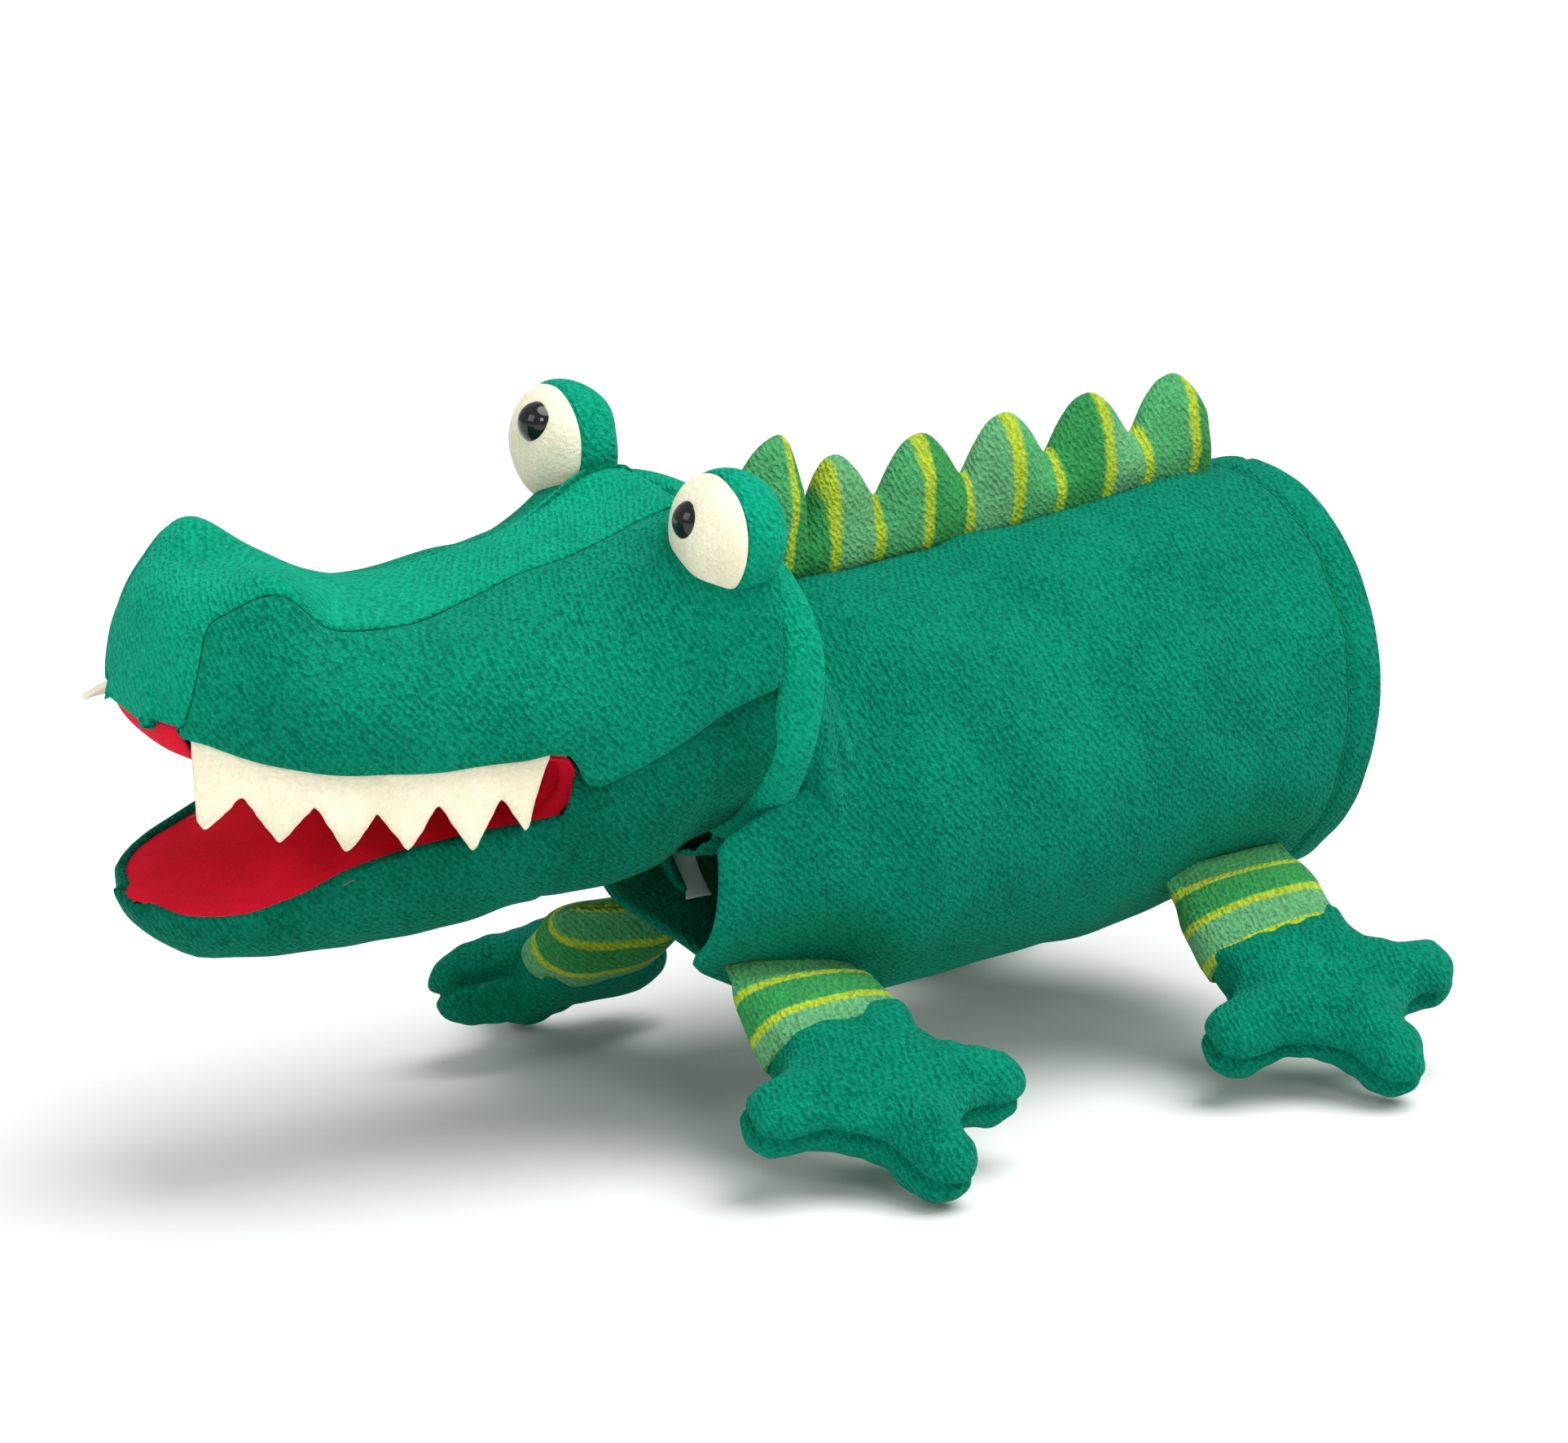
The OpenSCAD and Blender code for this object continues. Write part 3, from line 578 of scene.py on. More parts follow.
NOSE = -190
head_half = line_through([(-190, 13), (-187, 23), (-182, 30), (-174, 36), (-163, 40), (-136, 43), (-106, 46),
                          (-76, 51), (-46, 57), (-30, 60.5), (-19, 62)])
lip = line_through([(-190, 141), (-184, 140), (-173, 137), (-155, 133), (-137, 130.5), (-120, 130), (-110, 130.8),
                    (-100, 132), (-91, 133), (-87.5, 132), (-84.5, 128.5), (-82, 124), (-78, 121.5), (-72, 122.5),
                    (-56, 132), (-30, 148), (-19, 150)])
top = line_through([(-190, 153), (-187, 164), (-182, 173), (-174, 178), (-163, 180), (-150, 177), (-136, 171),
                    (-120, 166), (-104, 165), (-88, 167), (-72, 171.5), (-56, 177), (-42, 182), (-30, 184),
                    (-19, 181)])
ROUND = 0.8


EYE_X, EYE_Y = 40, -36


def nostril(x, y):
    """Two bumps on the nose with a dip between them."""
    return 9 * bell(y + 165, 12) * bell(np.abs(x) - 26, 11) - 0.8 * bell(x, 9) * bell(y + 164, 14)


def socket(x, y):
    """The cloth that swells up around each eye and covers the eye's lower edge."""
    left = 7.5 * bell(x - EYE_X, 15) * bell(y - EYE_Y + 6, 13)
    return left + 15.5 * bell(x + EYE_X, 16) * bell(y - EYE_Y + 11, 14)


def head_point(y, angle, off=0.0):
    """A point of the upper head. In front of the nose's last ring the height shrinks to the lip."""
    beyond = np.clip((NOSE - y) / 1.6, 0, 1)
    rise = np.sqrt(np.clip(1 - beyond**2, 0, 1))
    x = (head_half(y) - off) * rounded_power(np.cos(angle), ROUND)
    high = (top(y) - off - lip(y)) * rise
    z = lip(y) + high * rounded_power(np.sin(angle), ROUND) + (nostril(x, y) + socket(x, y)) * np.sin(angle)
    x = x + 4 * np.sign(x) * bell(y + 165, 12) * bell(np.abs(x) - 32, 12) * smooth(np.sin(angle) / 0.5)
    return np.stack([x, y + 0 * x, z], axis=-1)


def head_form(y, angle, push):
    """Head points pushed outwards from the head's middle line."""
    points = head_point(y, angle)
    none = 0 * points[..., 0]
    middle = np.stack([none, np.clip(points[..., 1], -172, 0), (top(y) + lip(y)) / 2 - 6 + none], -1)
    out = points - middle
    out /= np.linalg.norm(out, axis=-1, keepdims=True)
    return points + out * push[..., None]


# %% [markdown]
# The upper head has three panels of one green velour: one on top, from the lip over the nose and the
# nostrils back between the eyes, and one on each side, down to the upper lip. The top one is lighter,
# with painted light; the side ones are darker, partly the nap lying another way, partly painted shade.
# The head is stuffed a little askew: the seam on its left climbs almost to the middle in front of the
# eyes, and the one on its right stays lower.

# %% Top and side panels of the head
HEAD_WALL = 3.0
SIDES_FROM = -187.3
SEAM_ON_NOSE, NOSE_TURN = 0.67, 8
SEAM_AT_EYE = {"left": 0.13, "right": 0.47}


def seam_share(name, y):
    """The seam's place as a share of the width: 1 at the lip, level over the nose, then inwards to the eye."""
    lip_part = (1 - SEAM_ON_NOSE) * (1 - smooth((y - NOSE - 3) / NOSE_TURN))
    inwards = (SEAM_ON_NOSE - SEAM_AT_EYE[name]) * smooth((y + 150) / 70)
    return SEAM_ON_NOSE + lip_part - inwards + 0.05 * bell(y + 152, 10)


def head_folds(y, points):
    """Folds that run on across the seams, so that the panels' edges meet."""
    calm = smooth((y + 186) / 20)
    push = 0.9 * folds(points, 55, 21) * calm + 0.35 * folds(points, 20, 22) * calm
    return push - 1.2 * bell(y + 104, 14) * bell(points[..., 0], 30)


def seam_angle(name, y):
    return np.arccos(np.clip(seam_share(name, y), 0, 0.999) ** (1 / ROUND))[:, None]


SEAM_DEEP = 1.3
nose_rows = [-191.6, -191.5, -191.2, -190.7, -190, -189.2, -188.2, -187.2, -186.6, -186.2, -185.8, -185.4, -185,
             -184.5, -183.8, -182.8, -181.5, -180, -178.3, -176.5, -174.8]
head_rows = np.array(nose_rows + list(np.linspace(-173, -93, 42)) + list(np.arange(-92.2, -75.9, 0.8))
                     + list(np.linspace(-74.6, -30.2, 26)))
edge = 0.05
top_steps = panel_steps(44, edge)
grid_y = head_rows[:, None] + 0 * top_steps
left_seam, right_seam = seam_angle("left", head_rows), seam_angle("right", head_rows)
grid_angle = left_seam + (math.pi - right_seam - left_seam) * top_steps
sink = roll_in(top_steps, edge, SEAM_DEEP)[None, :] * np.ones_like(grid_y)
sink += roll_in((grid_y + 192) / 161.8, 0.012, SEAM_DEEP, ends=(False, True))
flat_points = head_point(grid_y, grid_angle)
top_grid = posed(head_form(grid_y, grid_angle, head_folds(grid_y, flat_points) - sink))
# The top panel gets the lighter copy of the velour: painted light on the surface that faces up.
top_panel = cloth("top_panel", top_grid, HEAD_WALL, velour_painted_light, centre=posed([0, -100, 120]))
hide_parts("head_top")
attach(top_panel, "head")
sewn(top_grid)

side_steps = panel_steps(40, edge)
side_rows = head_rows[head_rows >= SIDES_FROM]
for side, name in ((1, "left"), (-1, "right")):
    grid_y = side_rows[:, None] + 0 * side_steps
    grid_angle = seam_angle(name, side_rows) * side_steps
    sink = roll_in(side_steps, edge, SEAM_DEEP)[None, :] * np.ones_like(grid_y)
    sink = np.maximum(sink, 0.8 * bell(grid_y - SIDES_FROM, 0.8))
    sink += roll_in((grid_y + 192) / 161.8, 0.012, SEAM_DEEP, ends=(False, True))
    flat_points = head_point(grid_y, grid_angle)
    belly = np.sin(math.pi * side_steps)[None, :] * smooth((grid_y + 190) / 25)
    push = belly * (1.4 + 0.8 * folds(flat_points, 52, 31 + side)) + head_folds(grid_y, flat_points * [side, 1, 1])
    push -= sink
    corner_gap = np.hypot(grid_y + 74, flat_points[..., 2] - 128)
    push -= 2.4 * bell(corner_gap, 11)
    push += 1.8 * bell(np.hypot(grid_y + 98, flat_points[..., 2] - 134), 12)
    crease = bell(grid_y + 150 + 0.5 * (flat_points[..., 2] - 150), 6)
    push -= 1.5 * belly * crease * bell(flat_points[..., 2] - 160, 12)
    side_grid = posed(head_form(grid_y, grid_angle, push) * [side, 1, 1])
    # The side panels get the darker copy of the velour: painted shade, partly the nap lying another way.
    panel = cloth("side_panel_" + name, side_grid, HEAD_WALL, velour_painted_shade, centre=posed([0, -100, 150]))
    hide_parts("head_side_" + name)
    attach(panel, "head")
    sewn(side_grid)

# %% [markdown]
# The hood is a band behind the eyes. It bulges like a sausage between the seam in front and its
# hanging rear edge, which is turned in. It carries on down both sides to the throat.

# %% Hood band
HOOD_BASE, HOOD_LOW = 146.0, 56.0


def hood_point(y, angle, off=0.0):
    height = np.where(np.sin(angle) > 0, top(y) - HOOD_BASE, HOOD_LOW) - off
    return np.stack([(head_half(y) - off) * rounded_power(np.cos(angle), ROUND + 0.06), y + 0 * angle,
                     HOOD_BASE + height * rounded_power(np.sin(angle), ROUND + 0.06)], axis=-1)


hood_angle = np.radians(np.linspace(-62, 242, 120))
hood_front, hood_rear = -30.4, -17.5
hood_steps = panel_steps(12, 0.16)
turn_in = [(0.98, 1.8), (0.94, 3.4), (0.8, 4.6), (0.6, 5.0)]
hood_t = np.concatenate([hood_steps, [t for t, _ in turn_in]])
hood_off = np.concatenate([roll_in(hood_steps, 0.16, 1.6, ends=(True, True)), [d for _, d in turn_in]])
grid_t, grid_angle = np.meshgrid(hood_t, hood_angle, indexing="ij")
grid_y = hood_front + (hood_rear - hood_front) * grid_t
hood_points = hood_point(grid_y, grid_angle)
hood_mid = np.stack([0 * grid_y, grid_y, 140 + 0 * grid_y], axis=-1)
out = hood_points - hood_mid
out /= np.linalg.norm(out, axis=-1, keepdims=True)
bulge = 2.2 * np.sin(math.pi * np.clip(grid_t, 0, 1)) * (np.arange(len(hood_t)) < len(hood_steps))[:, None]
push = bulge - hood_off[:, None] + 0.8 * folds(hood_points, 34, 51)
hood_grid = posed(hood_points + out * push[..., None])
# The hood gets the lighter copy of the velour: painted light.
hood = cloth("hood", hood_grid, 2.4, velour_painted_light, centre=posed([0, -24, 140]))
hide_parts("hood_band")
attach(hood, "head")
sewn(hood_grid)

# %% [markdown]
# Between the body and the hood the puppet has its wrist, which bends three ways. A soft collar of the
# same velour runs from the body's front edge up into the hood. It is made as one shape and cut into
# three rings.

# %% Collar
collar_angles = np.radians(np.linspace(-44, 224, 132))
RING_ROWS = 11
shares = np.linspace(0, 1, 3 * RING_ROWS + 1)
COLLAR_START, COLLAR_END = 0.5, -24.0
tuck = 4.2 * smooth((20 - np.degrees(np.minimum(collar_angles, math.pi - collar_angles))) / 8)
low_ring = body_point(COLLAR_START + 0 * collar_angles, collar_angles, 0.0)
inward = low_ring - np.array([0, 0, body_mid(0.0)])
inward[:, 1] = 0
inward /= np.linalg.norm(inward, axis=-1, keepdims=True)
low_ring += inward * (body_relief(low_ring, 1.0) - tuck)[:, None]
high_ring = posed(hood_point(COLLAR_END + 0 * collar_angles, collar_angles, 4.6))
rise = smooth(shares) ** 0.9
collar_grid = low_ring + (high_ring - low_ring) * rise[:, None, None]
flat_y = COLLAR_START + (COLLAR_END - COLLAR_START) * shares
collar_grid[..., 1] = flat_y[:, None] + smooth(shares * 3 - 2)[:, None] * (high_ring[:, 1] - COLLAR_END)[None, :]
collar_out = collar_grid - np.array([0, 0, body_mid(0.0) + 12])
collar_out[..., 1] = 0
collar_out /= np.linalg.norm(collar_out, axis=-1, keepdims=True)
soft = np.sin(math.pi * shares)[:, None]
collar_grid += collar_out * (soft * (1.0 + 1.1 * folds(collar_grid * [1, 0.4, 1], 20, 17)))[..., None]
collar_normals = grid_normals(collar_grid, collar_grid.mean(axis=(0, 1)), False)
for ring in range(3):
    part = slice(ring * RING_ROWS, (ring + 1) * RING_ROWS + 1)
    collar = cloth("collar_" + str(ring + 1), collar_grid[part], BODY_WALL, velour_body,
                   normals=collar_normals[part])
    if ring == 0:
        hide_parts("neck_sleeve")
    sewn(collar_grid[part])
    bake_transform(collar)
print("collar from", COLLAR_START, "to", COLLAR_END)

# %% [markdown]
# Inside, where the arm passes from the body into the head, a narrow tunnel guides it. It is made of
# the darker copy of the green velour, painted shade for the dark inside, in place of its red lining.
# It is gathered, so its radius wavers around the opening.

# %% Tunnel lining at the wrist
tunnel_y, tunnel_turn = np.meshgrid(np.linspace(-8, 8, 9), np.linspace(0, 2 * math.pi, 120, endpoint=False),
                                    indexing="ij")
tunnel_r = np.sqrt(28.6**2 - tunnel_y**2) + 0.5 * np.sin(tunnel_turn * 20)
tunnel_grid = WRIST + np.stack([tunnel_r * np.cos(tunnel_turn), tunnel_y, tunnel_r * np.sin(tunnel_turn)], -1)
tunnel = cloth("tunnel", tunnel_grid, 1.2, velour_painted_shade, closed=True)
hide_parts("wrist_lining")
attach(tunnel, "wrist")
sewn(tunnel_grid, closed=True)

# %% [markdown]
# One velour panel makes the throat and the lower jaw. It is cut from the darkest copy of the green
# velour: painted shade for this underside. Below the corners of the mouth it has to bend with the jaw;
# it is one sheet from the head to the jaw across the hinge.

# %% Throat and jaw skin
JAW_WALL = 3.0
jaw_rim = line_through([(-190, 88.5), (-180, 90), (-160, 95), (-140, 102), (-116, 107.5), (-98, 110.5),
                        (-90, 111.5), (-86, 112.5), (-80, 114)])
jaw_low = line_through([(-190, 84), (-187, 80.5), (-180, 76), (-160, 71), (-135, 70), (-109, 74), (-84, 79),
                        (-66, 80), (-54, 82), (-36, 91), (-28, 97)])


def rim_height(y):
    """The upper edge: the jaw's rim in front of the corner, and the side panel's edge behind it."""
    share = smooth((y + 86) / 5)
    return jaw_rim(y) * (1 - share) + (lip(y) - 0.3) * share


def tucked(y):
    """From 0 to 1 where the panel's edge goes in behind the side panel, behind the mouth's corner."""
    return smooth((y + 84.5) / 5)


def jaw_half(y):
    inset = 5.5 * smooth((-72 - y) / 22)
    return head_half(y - 2) - inset


def jaw_point(y, angle, off=0.0):
    tip = np.clip((-188 - y) / 2.4, 0, 1)
    round_tip = np.sqrt(np.clip(1 - tip**2, 0, 1))
    depth = (rim_height(y) - jaw_low(y) - off) * (0.35 + 0.65 * round_tip)
    x = (jaw_half(y) - off) * (0.82 + 0.18 * round_tip) * rounded_power(np.cos(angle), ROUND)
    near_rim = smooth(1 - np.abs(np.sin(angle)) / 0.22) * tucked(y)
    z = rim_height(y) + depth * rounded_power(np.sin(angle), ROUND) + 4.0 * near_rim
    return np.stack([x - 3.4 * near_rim * np.sign(x), y + 0 * x, z], axis=-1)


jaw_rows = np.array([-190.4, -190.1, -189.5, -188.6, -187.4, -185.8, -184, -181.5, -179, -176]
                    + list(np.linspace(-172, -93, 42)) + list(np.arange(-92.2, -75.9, 0.8))
                    + list(np.linspace(-74.6, -29, 26)))
jaw_steps = panel_steps(60, 0.03)
grid_y, grid_t = np.meshgrid(jaw_rows, jaw_steps, indexing="ij")
grid_angle = -math.pi * (1 - grid_t)
points = jaw_point(grid_y, grid_angle)
middle = np.stack([0 * grid_y, np.clip(grid_y, -176, 0), rim_height(grid_y) + 6], axis=-1)
out = points - middle
out /= np.linalg.norm(out, axis=-1, keepdims=True)
calm = smooth((grid_y + 188) / 20)
push = 0.9 * folds(points, 50, 61) * calm + 0.4 * folds(points, 18, 62) * calm
push -= roll_in(grid_t, 0.03, 1.2) + 2.4 * bell(np.hypot(grid_y + 80, points[..., 2] - 104), 9)
sideways = np.abs(np.cos(grid_angle))
push += 1.6 * bell(grid_y + 58, 9) * sideways - 1.6 * bell(grid_y + 44, 6) * sideways
jaw_grid = posed(points + out * push[..., None])
jaw_skin = cloth("jaw_skin", jaw_grid, JAW_WALL, velour_underside_shade, centre=posed([0, -110, 130]))
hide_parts("throat_panel", "jaw_panel")
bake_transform(jaw_skin)
sewn(jaw_grid)

# %% [markdown]
# The inside of the mouth is one piece of red cotton. It lies flat on the two stiff boards and folds
# round at the back, where it is gathered into small pleats. It runs from the upper palate down to the
# lower one.

# %% Mouth lining
upper_front, lower_front = -188.6, -188.5
fold_rear = -80.5
upper_y = np.concatenate([np.linspace(upper_front, -182, 9), np.linspace(-180, -90, 34)])
fold_turn = np.linspace(0, math.pi, 22)[1:-1]
upper_z = 139.5 - 9.5 * (upper_y + 184) / 98 - 5 * smooth((-150 - upper_y) / 30)
upper_z += 6.5 * smooth((-185.2 - upper_y) / 3.4)
upper_end, lower_end = upper_z[-1], float(jaw_rim(-90)) - 1.0
fold_mid, fold_r = (upper_end + lower_end) / 2, (upper_end - lower_end) / 2
fold_y = -90 + (fold_rear + 90) * np.sin(fold_turn)
fold_z = fold_mid + fold_r * np.cos(fold_turn)
lower_y = np.linspace(-90, lower_front, 36)
path_y = np.concatenate([upper_y, fold_y, lower_y])
path_z = np.concatenate([upper_z, fold_z, jaw_rim(lower_y) - 1.0])
is_lower = np.concatenate([np.zeros(len(upper_y)), (1 - np.cos(fold_turn)) / 2, np.ones(len(lower_y))])
inner_half = (head_half(path_y) - 3.0) * (1 - is_lower) + (jaw_half(path_y) - 2.2) * is_lower
inner_half -= 4.5 * smooth((path_y + 88) / 5)
across = np.linspace(-1, 1, 121)
lining_x = inner_half[:, None] * across[None, :]
nose_curve = 5.0 * (1 - np.sqrt(np.clip(1 - across**2 * 0.8, 0, 1)))
lining_y = path_y[:, None] + nose_curve[None, :] * bell(path_y + 188, 9)[:, None]
lining_z = path_z[:, None] + 0 * lining_x
in_fold = np.zeros_like(path_y)
in_fold[len(upper_y) - 3:len(upper_y) + len(fold_y) + 3] = 1
in_fold = np.convolve(in_fold, np.ones(5) / 5, mode="same")
pleat = np.sin(across * 34) * (0.4 + 0.6 * np.abs(across))
lining_y = lining_y + (in_fold[:, None] * pleat[None, :]) * 1.1
lining_z = lining_z + 0.35 * folds(np.stack([lining_x, lining_y, lining_z], -1), 30, 71)
lining_z += (1 - 2 * is_lower)[:, None] * 1.2 * np.abs(across[None, :]) ** 3 * (1 - in_fold[:, None])
lining_grid = posed(np.stack([lining_x, lining_y, lining_z], axis=-1))
lining = cloth("mouth_lining", lining_grid, 1.0, red_cotton, centre=posed([0, -220, 112]))
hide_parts("upper_palate", "jaw_palate", "mouth_fold_left", "mouth_fold_right")
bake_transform(lining)
sewn(lining_grid)

# %% [markdown]
# Each row of teeth is one strip of thick felt, sewn in under the upper lip. Its lower edge is cut
# into six points by hand, so no two are quite alike. The tips lean in and out a little, and the first
# ones on the right stick out to the side.

# %% Teeth
TEETH_FRONT, TEETH_REAR = -184.5, -91.5
TOOTH_TIPS = [-183.3, -165, -147.5, -130.5, -113, -97.5]
TOOTH_VALLEYS = [-174.5, -156.5, -139.2, -121.8, -104.5]
tooth_line = sorted([(tip, 21.5) for tip in TOOTH_TIPS] + [(gap, 9.5) for gap in TOOTH_VALLEYS]
                    + [(TEETH_FRONT, 19.0), (TEETH_REAR, 1.5)])
tooth_rng = np.random.default_rng(5)


def tooth_depth(y, jitter):
    places = [p for p, _ in tooth_line]
    depths = [d + j for (_, d), j in zip(tooth_line, jitter)]
    sharp = np.interp(y, places, depths)
    near = (np.interp(y - 0.8, places, depths) + np.interp(y + 0.8, places, depths)) / 2
    return (sharp + near) / 2


for side, name in ((1, "left"), (-1, "right")):
    jitter = tooth_rng.uniform(-1.2, 1.2, len(tooth_line))
    teeth_y = np.linspace(TEETH_FRONT, TEETH_REAR, 180)
    down = np.linspace(-2.5, 1, 14)
    depth = tooth_depth(teeth_y, jitter)
    drop = np.where(down[:, None] < 0, down[:, None], down[:, None] * depth[None, :])
    splay = np.radians(8 + (0 if side > 0 else 50) * bell(teeth_y - TEETH_FRONT, 28))[None, :]
    below = np.maximum(drop, 0)
    x = head_half(teeth_y)[None, :] - 2.6 + below * np.sin(splay)
    y = teeth_y[None, :] + 0 * drop
    hang = np.where(drop < 0, drop, below * np.cos(splay))
    tooth_points = np.stack([x, y, lip(np.minimum(teeth_y, -90))[None, :] - hang], axis=-1)
    lean = folds(tooth_points, 26, 81 + side) * 0.07 * np.maximum(drop, 0)
    tooth_points[..., 0] += lean + 0.12 * folds(tooth_points, 5, 83)
    teeth_grid = posed(tooth_points * [side, 1, 1])
    teeth = cloth("teeth_strip_" + name, teeth_grid, 1.6, cream_felt, centre=posed([0, -140, 130]))
    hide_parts("teeth_" + name)
    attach(teeth, "head")
    sewn(teeth_grid)

# %% [markdown]
# An eye is a stuffed ball with two covers: a cream felt face in front and a green velour dome
# behind, sewn together round the edge. The face is a little flatter than the dome. The dome's back goes down
# between the top panel and the hood. The bead keeps its exact CAD shape.

# %% Eyes
EYE = np.array([EYE_X, EYE_Y, 183.0])
EYE_SIZE = np.array([18.2, 14.6, 17.4])
FACE_EDGE = math.radians(74)
FACE_FULL = 0.97
EYE_SHIFT = {"left": np.array([-2.5, -1.0, 2.0]), "right": np.array([3.0, -5.0, 4.0])}


def eye_cover(name, side, shift, first, last, flatter, depth, material, seed):
    steps_in = panel_steps(22, 0.10)
    tilt = first + (last - first) * steps_in
    around = np.linspace(0, 2 * math.pi, 72, endpoint=False)
    grid_tilt, grid_around = np.meshgrid(tilt, around, indexing="ij")
    forward = np.cos(grid_tilt)
    edge_height = math.cos(FACE_EDGE)
    if flatter:
        forward = edge_height + (forward - edge_height) * FACE_FULL
    sides = np.sin(grid_tilt)
    local = np.stack([sides * np.cos(grid_around), -forward, sides * np.sin(grid_around)], axis=-1)
    sink = roll_in(steps_in, 0.10, depth, ends=(not flatter, flatter))
    size = EYE_SIZE - sink[:, None, None] * np.ones(3)
    points = EYE + shift + local * size
    points += local * (0.35 * folds(points, 14, seed))[..., None]
    grid = posed(points * [side, 1, 1])
    rows, cols = grid.shape[:2]
    faces = quads(rows, cols, True) + [tuple(range(cols)), tuple(reversed(range((rows - 1) * cols, rows * cols)))]
    return make_piece(name, grid.reshape(-1, 3), faces, material)


for side, name in ((1, "left"), (-1, "right")):
    shift = EYE_SHIFT[name]
    # The dome gets the lighter copy of the velour: painted light.
    dome = eye_cover("eye_ball_" + name, side, shift, FACE_EDGE, math.radians(172), False, 0.9, velour_painted_light, 91)
    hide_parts("eye_dome_" + name)
    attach(dome, "head")
    face = eye_cover("eye_face_" + name, side, shift, math.radians(1), FACE_EDGE, True, 0.9, cream_felt, 92)
    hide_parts("eye_white_" + name)
    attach(face, "head")
print("eyes done")

# %% [markdown]
# The crest is a long stuffed strip with six peaks, sewn upright into the back seam. It is plumpest
# in the middle of each peak and pinched in the valleys. The first peak stands right behind the hood.

# %% Crest
CREST_FOREMOST, CREST_END, FIRST_PEAK, SECOND_PEAK, PEAK_STEP = -5.0, 171.75, 8.4, 30.0, 31.5


def crest_height(y):
    pitch = np.where(y < SECOND_PEAK, SECOND_PEAK - FIRST_PEAK, PEAK_STEP)
    wave = 0.5 + 0.5 * np.cos(2 * math.pi * (y - SECOND_PEAK) / pitch)
    ends = smooth((y - CREST_FOREMOST) / 4) * smooth((CREST_END - y) / 5)
    first = 24 * np.clip(1 - ((y - FIRST_PEAK) / 13.5) ** 2, 0, 1) ** 0.6
    others = 14.5 * wave**1.15 - 8 * bell(y - 20.5, 5)
    return ends * (17.5 + np.where(y < 20, np.maximum(first - 8 * smooth((y - 16) / 4), others), others)), wave


crest_y = np.linspace(CREST_FOREMOST + 0.5, CREST_END - 0.5, 156)
height, wave = crest_height(crest_y)
up = np.array([0, 0.08, 0.2, 0.35, 0.5, 0.64, 0.76, 0.86, 0.93, 0.975, 1.0])
loop_up = np.concatenate([up, up[-2::-1]])
loop_side = np.concatenate([np.ones(len(up) - 1), [0], -np.ones(len(up) - 1)])
thin = np.sqrt(np.clip(1 - loop_up**5, 0, 1)) * (0.78 + 0.42 * np.sin(math.pi * loop_up**0.9))
ends = np.sqrt(smooth((crest_y - CREST_FOREMOST) / 8) * smooth((CREST_END - crest_y) / 8))
half_thick = (4.6 + 2.0 * wave) * ends + 0.2
crest_x = half_thick[:, None] * (thin * loop_side)[None, :]
crest_z = (body_mid(crest_y) + ARM_ROOM - 1.5)[:, None] + (height + 1.0)[:, None] * loop_up[None, :]
lean = 2.5 * np.sin(2 * math.pi * (crest_y - SECOND_PEAK) / PEAK_STEP)[:, None] * loop_up[None, :] ** 2
crest_points = np.stack([crest_x, crest_y[:, None] + lean, crest_z], axis=-1)
plump = 0.9 * folds(crest_points, 15, 95) * np.sign(crest_x)
crest_points[..., 0] += plump * (loop_up * (1 - loop_up) * 4)[None, :] + 1.0 * folds(crest_points, 60, 96)
cols = len(loop_up)
rows = len(crest_y)
crest_faces = quads(rows, cols, True) + [tuple(range(cols)), tuple(reversed(range((rows - 1) * cols, rows * cols)))]
crest_marks = np.repeat(crest_y, cols) + 7
crest = make_piece("crest", crest_points.reshape(-1, 3), crest_faces, velour_stripes, crest_marks)
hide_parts("crest_left", "crest_right")
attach(crest, "torso")
print("crest", rows, "rows")

# %% [markdown]
# A leg starts as a striped sleeve. Its flat upper edge is sewn to the body and its lower end is
# round, over the ankle. The sleeve bends at the hip.

# %% Leg sleeves
FOOT_LONG = 52.0
SLEEVE_LONG = {False: 24.0, True: 28.0}
LEG_DROP = {False: math.radians(36), True: math.radians(42)}
FOOT_LEAN = {False: 3.0, True: 13.0}
HIP_SLOPE = {False: -8.16, True: 5.7}
LEG_STRIPES = 1.4


def turned(vector, axis, angle):
    axis = np.array(axis, float)
    c, s = math.cos(angle), math.sin(angle)
    return vector * c + np.cross(axis, vector) * s + np.outer(vector @ axis, axis).reshape(vector.shape) * (1 - c)


